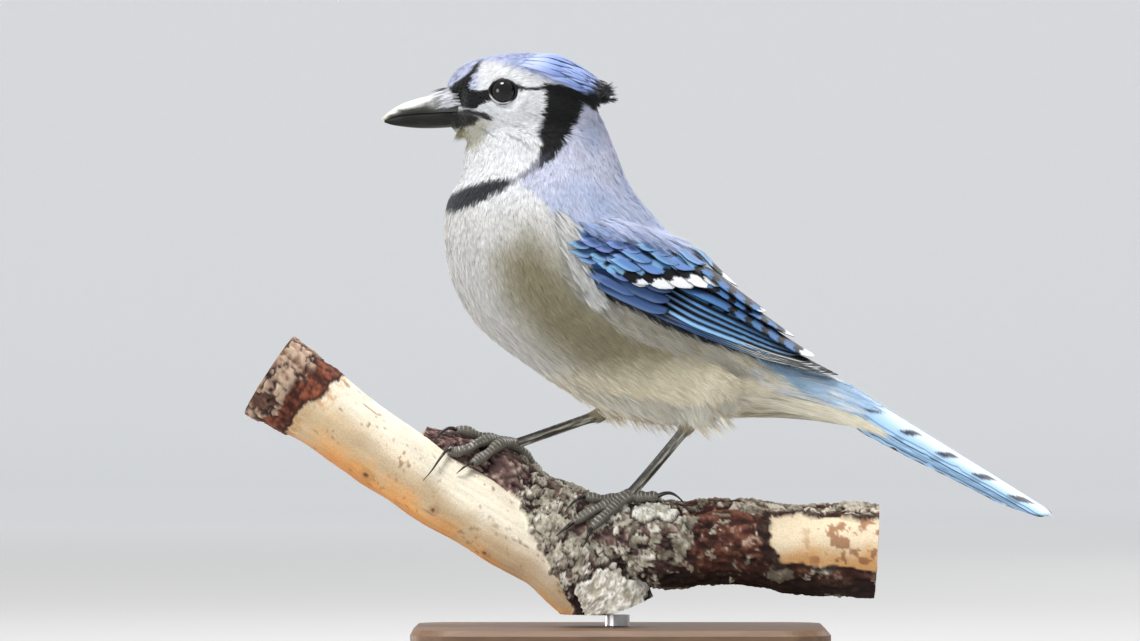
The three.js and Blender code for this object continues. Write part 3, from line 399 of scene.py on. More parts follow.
# Loose feathers: root line in pixels, run, length, half width, lift, count, barb width and colour
PLUMES = [
    (
        [(556, 212), (564, 238), (574, 264), (590, 290)],
        (0.66, 0.75), 9.5, 0.8, 5.0, 280, 0.085, (0.84, 0.84, 0.83),
    ),
    ([(562, 268), (580, 290), (604, 305)], (0.84, 0.54), 9, 1.0, 2.6, 110, 0.10, (0.72, 0.71, 0.67)),
    (
        [(596, 224), (628, 226), (664, 240), (688, 254)],
        (0.86, 0.5), 11, 1.5, 5.2, 170, 0.12, (0.78, 0.81, 0.91),
    ),
    (
        [(580, 226), (612, 232), (650, 242), (672, 252)],
        (0.88, 0.46), 8, 1.3, 4.8, 130, 0.12, (0.64, 0.72, 0.87),
    ),
    ([(600, 316), (660, 338), (742, 366)], (0.9, 0.42), 12, 1.3, 1.6, 110, 0.11, (0.74, 0.72, 0.67)),
    (
        [(560, 380), (610, 398), (668, 406), (735, 400)],
        (0.8, 0.56), 13, 1.5, 2.6, 200, 0.11, (0.92, 0.90, 0.84),
    ),
    (
        [(596, 390), (640, 402), (668, 408), (706, 404)],
        (0.5, 0.86), 12, 2.6, 4.2, 70, 0.10, (0.92, 0.91, 0.86),
    ),
    ([(640, 396), (668, 404), (700, 402)], (0.35, 0.9), 11, 1.4, 3.0, 70, 0.11, (0.88, 0.86, 0.80)),
    ([(735, 362), (768, 384), (796, 402)], (0.86, 0.5), 10, 1.2, 1.4, 80, 0.11, (0.90, 0.91, 0.92)),
]

# Colour of the wisps that hang from the belly, and its lower line in pixels
WISP = (0.94, 0.905, 0.82)
BELLY_LINE_PX = [(572, 397), (610, 414), (650, 422), (688, 426), (722, 415)]

lo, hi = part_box("eye_left")
OFFSET = np.array((lo + hi) / 2) * 1000 - EYE * (1, -1, 1)


def metres(points):
    """Row frame metres of design millimetres."""
    return (np.asarray(points, float) + OFFSET) * 0.001


def to_px(points):
    """Pixels of the photograph where design points lie."""
    x, z = ORIGIN_PX[0] + points[..., 0] / PIXEL, ORIGIN_PX[1] - points[..., 2] / PIXEL
    return np.stack([x, z], -1)


def from_px(px):
    """Design x and z of a pixel of the photograph."""
    return (px[0] - ORIGIN_PX[0]) * PIXEL, (ORIGIN_PX[1] - px[1]) * PIXEL


def smooth(x, low, high):
    """0 up to low and 1 from high on, with a soft rise between them."""
    t = np.clip((np.asarray(x, float) - low) / (high - low), 0, 1)
    return t * t * (3 - 2 * t)


def mix(a, b, t):
    """Values between a and b at a share t."""
    t = np.asarray(t, float)[..., None]
    return np.asarray(a, float) * (1 - t) + np.asarray(b, float) * t


def unit(v):
    """Vectors at a length of 1."""
    return v / np.maximum(np.linalg.norm(v, axis=-1, keepdims=True), 1e-9)


def linear(colour):
    """Scene linear values of a colour as seen."""
    c = np.clip(np.asarray(colour, float), 0, 1)
    return np.where(c <= 0.04045, c / 12.92, ((c + 0.055) / 1.055) ** 2.4)


def value_noise(points, size, seed, octaves=3):
    """Smooth random values between about -1 and 1, with finer and weaker layers."""
    total = np.zeros(points.shape[:-1])
    weight = 1.0
    for k in range(octaves):
        table = np.random.default_rng(seed + 31 * k).uniform(-1, 1, (32, 32, 32))
        at = points / size * 2**k + 1000.37
        cell = np.floor(at).astype(int)
        w = at - cell
        w = w * w * (3 - 2 * w)
        value = 0
        for corner in range(8):
            step = np.array([corner & 1, corner >> 1 & 1, corner >> 2 & 1])
            share = np.prod(np.where(step, w, 1 - w), axis=-1)
            index = (cell + step) % 32
            value = value + share * table[index[..., 0], index[..., 1], index[..., 2]]
        total = total + value * weight
        weight *= 0.5
    return total


def band(d, low, high, soft=0.25):
    """1 between low and high and 0 beyond them, with soft edges."""
    return smooth(d, low - soft, low + soft) * (1 - smooth(d, high - soft, high + soft))


def wave(points, size, seed):
    """Slow smooth noise between about -1 and 1."""
    total = np.zeros(len(points))
    directions = np.random.default_rng(seed).normal(size=(7, 3))
    for k, way in enumerate(directions):
        total += np.sin(points @ way * (6.28 / size) / np.linalg.norm(way) + k * 1.7 + seed)
    return total / 3.2


class Curve:
    """Centripetal Catmull-Rom curve through points, taken at t from 0 to 1."""

    def __init__(self, points):
        inner = np.asarray(points, float)
        first = 2 * inner[0] - inner[1]
        final = 2 * inner[-1] - inner[-2]
        self.points = np.vstack([first, inner, final])
        self.spans = len(inner) - 1

    def __call__(self, t):
        at = np.clip(np.asarray(t, float), 0, 1) * self.spans
        span = np.minimum(at.astype(int), self.spans - 1)
        w = (at - span)[..., None]
        a, b, c, d = (self.points[span + k] for k in range(4))
        d0, d1, d2 = (
            np.sum((q - p) ** 2, -1, keepdims=True) ** 0.25 for p, q in ((a, b), (b, c), (c, d))
        )
        t1 = ((b - a) / d0 - (c - a) / (d0 + d1) + (c - b) / d1) * d1
        t2 = ((c - b) / d1 - (d - b) / (d1 + d2) + (d - c) / d2) * d1
        square = 3 * (c - b) - 2 * t1 - t2
        cube = 2 * (b - c) + t1 + t2
        return b + w * (t1 + w * (square + w * cube))


class Loft:
    """A form lofted through stations. A place on it is a station and an angle from the back to the left."""

    def __init__(self, stations):
        self.last = len(stations) - 1
        self.back = Curve([(b[0], 0, b[1]) for b, _, _ in stations])
        self.belly = Curve([(b[0], 0, b[1]) for _, b, _ in stations])
        self.width = Curve([(10 * i, half, 0) for i, (_, _, half) in enumerate(stations)])

    def skin(self, station, angle):
        """Points on the form."""
        station, angle = np.broadcast_arrays(np.asarray(station, float), np.asarray(angle, float))
        t = station / self.last
        back, belly = self.back(t), self.belly(t)
        point = (back + belly) / 2 + (back - belly) / 2 * np.cos(angle)[..., None]
        point[..., 1] = -self.width(t)[..., 1] * np.sin(angle)
        return point

    def ahead(self, station, angle, step=0.02):
        """Run of the form towards its next stations."""
        return self.skin(station + step, angle) - self.skin(station - step, angle)

    def normal(self, station, angle, step=0.02):
        """Outward direction."""
        turn = self.skin(station, angle + step) - self.skin(station, angle - step)
        return unit(np.cross(turn, self.ahead(station, angle)))

    def at(self, station, angle, grow=0.0):
        """Points at a height over the form."""
        station, angle = np.asarray(station, float), np.asarray(angle, float)
        return self.skin(station, angle) + self.normal(station, angle) * np.asarray(grow)[..., None]

    def per_radian(self, station, angle, step=0.0175):
        """Millimetres round the form to a radian."""
        across = self.skin(station, angle + step) - self.skin(station, angle - step)
        return np.linalg.norm(across, axis=-1) / (2 * step)


body = Loft(BODY)
skull = Loft(HEAD)
crest_ridge = Curve([(r[0], 0, r[1]) for r, _, _ in CREST])


def crest_point(share, angle, lift=0.0):
    """A point of the crest's arch, from 0 at the forehead to 1 at its tip."""
    share, angle = np.broadcast_arrays(np.asarray(share, float), np.asarray(angle, float))
    place = share * (len(CREST) - 1)
    steps = np.arange(len(CREST))
    half = np.interp(place, steps, [c[1] for c in CREST]) + lift
    drop = np.interp(place, steps, [c[2] for c in CREST]) + lift
    point = crest_ridge(share)
    beyond = np.maximum(share - 1, 0)[..., None] * (crest_ridge(1.0) - crest_ridge(0.98)) * 50
    point = point + beyond
    point[..., 1] = -half * np.sin(angle)
    point[..., 2] += lift - drop * (1 - np.cos(angle))
    return point


# Meshes


def make_mesh(name, points, quads=(), tris=(), tint=None, uv=None, barb=None, in_metres=False):
    """A mesh object of design points, with a colour, a map and a place across its barbs at each."""
    mesh = bpy.data.meshes.new(name)
    places = np.asarray(points, float) if in_metres else metres(points)
    quads = np.asarray(quads, np.int32).reshape(-1, 4)
    tris = np.asarray(tris, np.int32).reshape(-1, 3)
    corners = np.concatenate([quads.ravel(), tris.ravel()])
    starts = np.concatenate([np.arange(len(quads)) * 4, len(quads) * 4 + np.arange(len(tris)) * 3])
    mesh.vertices.add(len(places))
    mesh.vertices.foreach_set("co", places.astype(np.float32).ravel())
    mesh.loops.add(len(corners))
    mesh.loops.foreach_set("vertex_index", corners.astype(np.int32))
    mesh.polygons.add(len(starts))
    mesh.polygons.foreach_set("loop_start", starts.astype(np.int32))
    mesh.update(calc_edges=True)
    mesh.polygons.foreach_set("use_smooth", np.ones(len(starts), bool))
    if tint is not None:
        add_tint(mesh, tint)
    if barb is not None:
        layer = mesh.attributes.new("barb", "FLOAT", "POINT")
        layer.data.foreach_set("value", barb.astype(np.float32))
    if uv is not None:
        layer = mesh.uv_layers.new(name="OFBake")
        layer.data.foreach_set("uv", np.asarray(uv, np.float32)[corners].ravel())
    piece = bpy.data.objects.new(name, mesh)
    bpy.context.scene.collection.objects.link(piece)
    return piece


def add_tint(mesh, tint):
    """Keeps a colour at each point of a mesh."""
    rgba = np.ones((len(mesh.vertices), 4), np.float32)
    rgba[:, :3] = linear(tint)
    layer = mesh.color_attributes.new("tint", "FLOAT_COLOR", "POINT")
    layer.data.foreach_set("color", rgba.ravel())


def grid_quads(rows, columns, wrap=False, start=0):
    """Faces of a grid of rows and columns. With wrap the last column meets the first."""
    across = columns if wrap else columns - 1
    r, c = np.meshgrid(np.arange(rows - 1), np.arange(across), indexing="ij")
    right = (c + 1) % columns
    row, following = r * columns, (r + 1) * columns
    quads = np.stack([row + c, following + c, following + right, row + right], -1)
    return quads.reshape(-1, 4) + start


class Batch:
    """Points, faces and values of many small forms that go into one mesh."""

    def __init__(self):
        self.points, self.quads, self.tris = [], [], []
        self.tint, self.uv, self.barb = [], [], []
        self.size = 0

    def add(self, points, quads=None, tris=None, tint=None, uv=None, barb=None):
        """Keeps one form, whose faces count from its own first point."""
        points = np.asarray(points, float).reshape(-1, 3)
        if quads is not None:
            self.quads.append(np.asarray(quads).reshape(-1, 4) + self.size)
        if tris is not None:
            self.tris.append(np.asarray(tris).reshape(-1, 3) + self.size)
        self.points.append(points)
        if tint is not None:
            self.tint.append(np.asarray(tint, float).reshape(-1, 3))
        if uv is not None:
            self.uv.append(np.asarray(uv, float).reshape(-1, 2))
        if barb is not None:
            self.barb.append(np.asarray(barb, float).ravel())
        self.size += len(points)

    def piece(self, name, flip=False):
        """Makes the mesh object, mirrored to the other side if flip is set."""
        points = np.vstack(self.points)
        quads = np.vstack(self.quads) if self.quads else np.zeros((0, 4), int)
        tris = np.vstack(self.tris) if self.tris else np.zeros((0, 3), int)
        if flip:
            points = points * (1, -1, 1)
            quads, tris = quads[:, ::-1], tris[:, ::-1]
        tint = np.vstack(self.tint) if self.tint else None
        uv = np.vstack(self.uv) if self.uv else None
        barb = np.concatenate(self.barb) if self.barb else None
        return make_mesh(name, points, quads, tris, tint, uv, barb)


def dress(piece, slot, material, *replaced):
    """Gives a piece its body and material, and hides the nodes it stands for. The slot is not used."""
    piece.data.materials.clear()
    piece.data.materials.append(material)
    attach(piece, "root")
    if replaced:
        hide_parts(*replaced)
    return piece


def tube_grid(path, radii, sides, hint=(0, 1, 0), flatten=1.0):
    """Rings of points round a path."""
    path = np.asarray(path, float)
    ahead = unit(np.gradient(path, axis=0))
    across = unit(np.cross(ahead, np.asarray(hint, float)))
    up = np.cross(across, ahead)
    turn = np.linspace(0, 2 * np.pi, sides, endpoint=False)
    radii = np.asarray(radii, float)
    radii = radii[:, None] if radii.ndim == 1 else radii
    ring = across[:, None] * (radii * flatten * np.cos(turn))[..., None]
    ring = ring + up[:, None] * (radii * np.sin(turn))[..., None]
    return path[:, None] + ring


def closed_tube(batch, grid, **values):
    """Adds rings as one closed tube with a point at each end."""
    rows, columns = grid.shape[:2]
    points = np.vstack([grid.reshape(-1, 3), grid[0].mean(0), grid[-1].mean(0)])
    around = np.arange(columns)
    following = (around + 1) % columns
    first = np.stack([np.full(columns, rows * columns), around, following], -1)
    base = (rows - 1) * columns
    final = np.stack([np.full(columns, rows * columns + 1), base + following, base + around], -1)
    extended = {}
    for key, value in values.items():
        value = np.asarray(value, float)
        flat = value.reshape(rows * columns, -1)
        ends = np.stack([flat[:columns].mean(0), flat[-columns:].mean(0)])
        extended[key] = np.vstack([flat, ends])
    batch.add(points, grid_quads(rows, columns, wrap=True), np.vstack([first, final]), **extended)


# Materials


def material(name, roughness=0.7, specular=0.4):
    """A material with a principled shader, and helpers that add nodes and links to it."""
    made = bpy.data.materials.new(name)
    made.use_nodes = True
    tree = made.node_tree
    shader = tree.nodes["Principled BSDF"]
    shader.inputs["Roughness"].default_value = roughness
    shader.inputs["Specular IOR Level"].default_value = specular

    def node(kind, inputs=None, **settings):
        new = tree.nodes.new(kind)
        for key, value in settings.items():
            setattr(new, key, value)
        for key, value in (inputs or {}).items():
            if isinstance(value, bpy.types.NodeSocket):
                tree.links.new(value, new.inputs[key])
            else:
                new.inputs[key].default_value = value
        return new

    def link(output, socket):
        tree.links.new(output, shader.inputs[socket])

    return made, shader, node, link


def tinted(node):
    """The colour kept at each point."""
    return node("ShaderNodeAttribute", attribute_name="tint").outputs["Color"]


def object_place(node):
    """The place on the object, in metres."""
    return node("ShaderNodeTexCoord").outputs["Object"]


def scaled(node, colour, factor):
    """A colour times a number from a node."""
    mixer = node("ShaderNodeMix", data_type="RGBA", blend_type="MULTIPLY")
    mixer.inputs[0].default_value = 1
    tree = mixer.id_data
    tree.links.new(colour, mixer.inputs[6])
    tree.links.new(factor, mixer.inputs[7])
    return mixer.outputs[2]


def grained_material(name, roughness, specular, grain, tones, bump=None, kind="Noise"):
    """A material that takes each point's tint, toned by a fine grain that may also raise it."""
    made, _, node, link = material(name, roughness, specular)
    texture = node(f"ShaderNodeTex{kind}", {"Vector": object_place(node), **grain})
    tone = node("ShaderNodeMapRange", {0: texture.outputs[0], **dict(enumerate(tones, 1))})
    link(scaled(node, tinted(node), tone.outputs[0]), "Base Color")
    if bump:
        strength, distance = bump
        settings = {"Strength": strength, "Distance": distance, "Height": texture.outputs[0]}
        raised = node("ShaderNodeBump", settings)
        link(raised.outputs[0], "Normal")
    return made


def ramped_material(name, roughness, specular, texture, dark, light, stretch=None):
    """A material whose colour runs between two by a noise texture."""
    made, _, node, link = material(name, roughness, specular)
    place = object_place(node)
    if stretch:
        place = node("ShaderNodeMapping", {"Vector": place, "Scale": stretch}).outputs[0]
    grain = node("ShaderNodeTexNoise", {"Vector": place, **texture})
    ramp = node("ShaderNodeValToRGB", {0: grain.outputs[0]})
    ramp.color_ramp.elements[0].color = (*dark, 1)
    ramp.color_ramp.elements[1].color = (*light, 1)
    link(ramp.outputs[0], "Base Color")
    return made


def coat_material(name, roughness, sheen):
    """Soft plumage: each barb takes its own tint, with a faint slow change over the body."""
    grain = {"Scale": 160, "Detail": 3, "Roughness": 0.6}
    made = grained_material(name, roughness, 0.25, grain, (0.3, 0.7, 0.93, 1.05))
    shader = made.node_tree.nodes["Principled BSDF"]
    shader.inputs["Sheen Weight"].default_value = sheen
    shader.inputs["Sheen Roughness"].default_value = 0.5
    return made


def vane_material(name, roughness=0.55, bump=0.25):
    """Silky vane: barbs run out from the shaft, seen as fine ridges and thin streaks."""
    made, _, node, link = material(name, roughness, 0.22)
    barb = node("ShaderNodeAttribute", attribute_name="barb").outputs["Fac"]
    wobble = node("ShaderNodeTexNoise", {"Vector": object_place(node), "Scale": 700, "Detail": 2})
    bent = node("ShaderNodeMath", {0: wobble.outputs[0], 1: 1.1, 2: barb}, operation="MULTIPLY_ADD")
    swing = node("ShaderNodeMath", {0: bent.outputs[0], 1: 9.5}, operation="MULTIPLY")
    ridge = node("ShaderNodeMath", {0: swing.outputs[0]}, operation="SINE")
    tone = node("ShaderNodeMapRange", {0: ridge.outputs[0], 1: -1, 2: 1, 3: 0.86, 4: 1.06})
    link(scaled(node, tinted(node), tone.outputs[0]), "Base Color")
    raised = node("ShaderNodeBump", {"Strength": bump, "Distance": 0.0001, "Height": ridge.outputs[0]})
    link(raised.outputs[0], "Normal")
    return made


# Camera, light and floor


def stage():
    """Camera at the photograph's angle, floor with its backdrop, and soft lamps."""
    x, z = from_px(FRAME_CENTRE_PX)
    distance = FRAME_WIDTH_PX * PIXEL * LENS / SENSOR
    camera_data = bpy.data.cameras.new("camera")
    camera_data.lens = LENS
    camera_data.sensor_width = SENSOR
    camera_data.clip_end = 50
    camera = bpy.data.objects.new("camera", camera_data)
    camera.location = metres((x, -distance, z))
    camera.rotation_euler = (math.pi / 2, 0, 0)
    bpy.context.scene.collection.objects.link(camera)
    bpy.context.scene.camera = camera

    # Floor that curves up into a backdrop, beyond the camera's distance on all sides
    reach, back, radius, height = BACKDROP
    bend = np.linspace(0, math.pi / 2, 24)
    run = [(-reach, 0)] + [(back + radius * math.sin(a), radius * (1 - math.cos(a))) for a in bend]
    run.append((back + radius, height))
    points = [(side * reach, y, z) for y, z in run for side in (-1, 1)]
    quads = grid_quads(len(run), 2)
    floor = make_mesh("floor", points, quads[:, ::-1], in_metres=True)
    made, _, node, link = material("floor_paper", 0.9, 0.2)
    place = object_place(node)
    grain = node("ShaderNodeTexNoise", {"Vector": place, "Scale": 900, "Detail": 2})
    grey = node("ShaderNodeMapRange", {0: grain.outputs[0], 3: 0.97, 4: 1.03})
    away = node("ShaderNodeVectorMath", {0: place}, operation="LENGTH")
    span = node("ShaderNodeMath", {0: away.outputs["Value"], 1: FLOOR_REACH}, operation="DIVIDE")
    far = node("ShaderNodeValToRGB", {0: span.outputs[0]})
    far.color_ramp.interpolation = "B_SPLINE"
    stops = far.color_ramp.elements
    for metre, _ in FLOOR_TONES[1:-1]:
        stops.new(metre / FLOOR_REACH)
    for stop, (metre, there) in zip(stops, FLOOR_TONES):
        stop.position = metre / FLOOR_REACH
        stop.color = (there, there, there, 1)
    tone = node("ShaderNodeMath", {0: grey.outputs[0], 1: far.outputs[0]}, operation="MULTIPLY")
    shade = node("ShaderNodeCombineColor", {0: tone.outputs[0], 1: tone.outputs[0], 2: tone.outputs[0]})
    link(shade.outputs[0], "Base Color")
    floor.data.materials.append(made)

    world = bpy.data.worlds.new("studio")
    world.use_nodes = True
    sky = world.node_tree.nodes["Background"]
    sky.inputs["Color"].default_value = SKY_LIGHT
    sky.inputs["Strength"].default_value = SKY_STRENGTH
    bpy.context.scene.world = world
    bpy.context.scene.view_settings.view_transform = "Standard"
    middle = Vector(metres((-5, 0, 90)))
    for name, place, size, power, colour in LAMPS:
        data = bpy.data.lights.new(name, "AREA")
        data.shape = "DISK"
        data.size = size
        data.energy = power
        data.color = colour
        lamp = bpy.data.objects.new(name, data)
        lamp.location = middle + Vector(place)
        lamp.rotation_euler = (middle - lamp.location).to_track_quat("-Z", "Y").to_euler()
        bpy.context.scene.collection.objects.link(lamp)


stage()

# Markings of the plumage


def outline_mask(px, outline, soft):
    """1 inside an outline and 0 outside it, over a soft edge in pixels."""
    corners = np.asarray(outline, float)
    result = np.zeros(len(px))
    low, high = corners.min(0) - soft, corners.max(0) + soft
    near = np.where(np.all((px > low) & (px < high), axis=1))[0]
    if not len(near):
        return result
    p = px[near]
    nearest = np.full(len(near), 1e9)
    inside = np.zeros(len(near), bool)
    for a, b in zip(corners, np.roll(corners, -1, 0)):
        run = b - a
        t = np.clip(((p - a) @ run) / (run @ run), 0, 1)
        nearest = np.minimum(nearest, np.hypot(*(p - a - t[:, None] * run).T))
        crosses = (a[1] > p[:, 1]) != (b[1] > p[:, 1])
        rise = np.where(abs(run[1]) < 1e-9, 1e-9, run[1])
        inside ^= crosses & (p[:, 0] < a[0] + (p[:, 1] - a[1]) / rise * run[0])
    signed = np.where(inside, nearest, -nearest)
    result[near] = smooth(signed, -soft, soft)
    return result


def markings(points):
    """Colour of the plumage at places of the skin."""
    p = np.asarray(points, float)
    px = to_px(p)
    px = px + np.stack([wave(p, 3.1, 3), wave(p, 2.7, 4)], -1) * 0.9
    x, z = px.T
    colour = np.tile(WHITE, (len(p), 1))
    colour = mix(colour, BREAST, smooth(z, 195, 225))
    # Belly: partly its own grey-brown wash, partly painted shade
    colour = mix(colour, BELLY_GREY_AND_SHADE, outline_mask(px, BELLY_GREY_AND_SHADE_PX, 26))
    colour = mix(colour, WHITE, 0.6 * smooth(x, 690, 790))
    # Lighter towards the lower outline: partly the pale lower belly, partly painted rim light
    colour = mix(colour, UNDERSIDE_AND_RIM_LIGHT, 0.75 * smooth(z + 0.16 * (x - 600), 352, 400) * smooth(x, 500, 560))
    back = mix(LILAC, SHOULDER, 0.15 * smooth(z + 0.3 * x, 330, 430) + 0.12 * wave(p, 16, 9).clip(0, 1))
    hind = smooth(x - 0.35 * (z - 100), 578, 612) * (1 - smooth(z, 180, 240))
    back = mix(back, NAPE, 0.65 * hind)
    back = mix(back, RUMP, smooth(x, RUMP_START_PX, RUMP_START_PX + 60))
    colour = mix(colour, back, outline_mask(px, MANTLE_PX, 3.5))
    colour = mix(colour, SHOULDER, outline_mask(px, SHOULDER_PX, 5) * 0.95)
    # Painted shadow below the wing's lower edge
    colour = mix(colour, PAINTED_WING_SHADOW, outline_mask(px, PAINTED_WING_SHADOW_PX, 2.5) * 0.9)
    crown = mix(FOREHEAD, CROWN, smooth(x, 478, 535))
    crown = mix(crown, CREST_DEEP, smooth(x, 545, 600))
    colour = mix(colour, crown, outline_mask(px, CROWN_PX, 3.0))
    colour = mix(colour, BLACK, outline_mask(px, CREST_END_PX, 2.0) * 0.9)
    forehead = smooth(x, 486, 470) * smooth(z, 96, 86)
    flecks = smooth(wave(p, 1.7, 15), 0.2, 0.6) * 0.6
    colour = mix(colour, mix(*FLECK, flecks), forehead * 0.8)
    colour = mix(colour, CHIN_TINT, outline_mask(px, CHIN_PX, 6) * 0.55)
    run = np.stack([(x * 0.86 + z * 0.5) * 0.05, (z * 0.86 - x * 0.5) * 0.42, p[:, 1] * 0.02], -1)
    streak = smooth(value_noise(run, 1.0, 17, 2), 0.25, 0.9)
    colour = mix(colour, CHEEK_STREAK, outline_mask(px, CHEEK_PX, 8) * streak * 0.38)
    for outline, tone, soft, strength in DARK_MARKS:
        colour = mix(colour, tone, outline_mask(px, outline, soft) * strength)
    return colour


# Skin: one body under the plumage


def steps_at(table, x):
    """Value of a table of steps at x, with smooth turns."""
    at, value = table
    k = np.clip(np.searchsorted(at, x) - 1, 0, len(at) - 2)
    at, value = np.asarray(at), np.asarray(value)
    return value[k] + (value[k + 1] - value[k]) * smooth((x - at[k]) / (at[k + 1] - at[k]), 0, 1)


def wing_slab(side):
    """Closed form of the folded wing under its feathers."""
    rows, columns = 48, 18
    station = np.linspace(WING_TOP[0][0], WING_TOP[0][-1], rows)[:, None] * np.ones(columns)
    share = np.ones((rows, 1)) * np.linspace(0, 1, columns)
    upper, lower = steps_at(WING_UPPER, station), steps_at(WING_LOWER, station)
    angle = np.radians(upper + (lower - upper) * share)
    arch = np.sin(np.pi * share) ** 0.35
    top = body.at(station, angle, WING_EDGE + (steps_at(WING_TOP, station) - WING_EDGE) * arch)
    under = body.at(station, angle, np.full(angle.shape, WING_UNDER))
    ring = np.concatenate([top, under[:, ::-1]], 1)
    ring[..., 1] *= side
    return ring if side > 0 else ring[:, ::-1]


def thigh_rings(leg, start):
    """Shares of the way down a thigh, its direction and its rings, from a share to above the heel."""
    hip, heel = np.array(leg["hip"], float), np.array(leg["heel"], float)
    s = np.linspace(start, 0.97, 16)
    return s, heel - hip, tube_grid(hip + (heel - hip) * s[:, None], np.interp(s, *THIGH), 32, flatten=1.1)


def skin_mesh():
    """The joined skin as points, quads and normals, in design millimetres."""
    batch = Batch()
    turn = np.linspace(0, 2 * np.pi, 72, endpoint=False)
    for loft, rows in ((body, 90), (skull, 60)):
        station = np.linspace(0, loft.last, rows)[:, None]
        closed_tube(batch, loft.skin(station, turn[None, :]))
    shares = np.linspace(0.02, 0.94, 40)[:, None]
    span = np.radians(np.linspace(-80, 80, 40))[None, :]
    arch = crest_point(shares, span, -0.2)
    under = crest_point(shares, span, -0.2) + (-0.2, 0, -2.6)
    closed_tube(batch, np.concatenate([arch, under[:, ::-1]], 1))
    for leg in LEGS.values():
        closed_tube(batch, thigh_rings(leg, 0)[2])
    for side in (1, -1):
        closed_tube(batch, wing_slab(side))
    rough = batch.piece("skin_rough")
    remesh = rough.modifiers.new("join", "REMESH")
    remesh.mode = "VOXEL"
    remesh.voxel_size = 0.0009
    bpy.context.view_layer.update()
    made = rough.evaluated_get(bpy.context.evaluated_depsgraph_get()).to_mesh()
    points = np.zeros(len(made.vertices) * 3)
    made.vertices.foreach_get("co", points)
    points = points.reshape(-1, 3) * 1000 - OFFSET
    quads = np.zeros(len(made.polygons) * 4, np.int32)
    made.polygons.foreach_get("vertices", quads)
    bpy.data.objects.remove(rough)
    return points, quads.reshape(-1, 4)


def relax(values, quads, rounds, strength=0.5):
    """Evens out values over neighbouring corners of the faces."""
    edges = np.vstack([quads[:, [0, 1]], quads[:, [1, 2]], quads[:, [2, 3]], quads[:, [3, 0]]])
    count = np.maximum(np.bincount(edges.ravel(), minlength=len(values)), 1)[:, None]
    for _ in range(rounds):
        total = np.zeros_like(values)
        for k in range(values.shape[1]):
            total[:, k] = np.bincount(edges[:, 0], values[edges[:, 1], k], len(values))
            total[:, k] += np.bincount(edges[:, 1], values[edges[:, 0], k], len(values))
        values = values + (total / count - values) * strength
    return values


def corner_normals(points, quads):
    """Normal at each point from the faces round it."""
    a, b, c, d = (points[quads[:, k]] for k in range(4))
    face = np.cross(c - a, d - b)
    flat, weight = quads.ravel(), np.repeat(face, 4, 0)
    return unit(np.stack([np.bincount(flat, weight[:, k], len(points)) for k in range(3)], -1))


def bill_half(x):
    """Half width of the upper mandible at x."""
    return np.interp(x, [s[0][0] for s in BILL_UPPER], [s[2] for s in BILL_UPPER])


def bill_top(x):
    """Height of the bill's ridge at x."""
    return np.interp(x, [s[0][0] for s in BILL_UPPER], [s[0][1] for s in BILL_UPPER])


def spread_out(spots, room):
    """Numbers of the spots that keep their own room to all that are kept before them."""
    size = 0.9
    cell, kept = {}, []
    for i, (spot, gap) in enumerate(zip(spots, room)):
        x, y, z = (int(v) for v in spot // size)
        span = range(-int(gap // size) - 1, int(gap // size) + 2)
        around = [cell.get((x + dx, y + dy, z + dz), ()) for dx, dy, dz in product(span, repeat=3)]
        if all((away := spots[other] - spot) @ away >= gap * gap for near in around for other in near):
            cell.setdefault((x, y, z), []).append(i)
            kept.append(i)
    return np.array(kept)


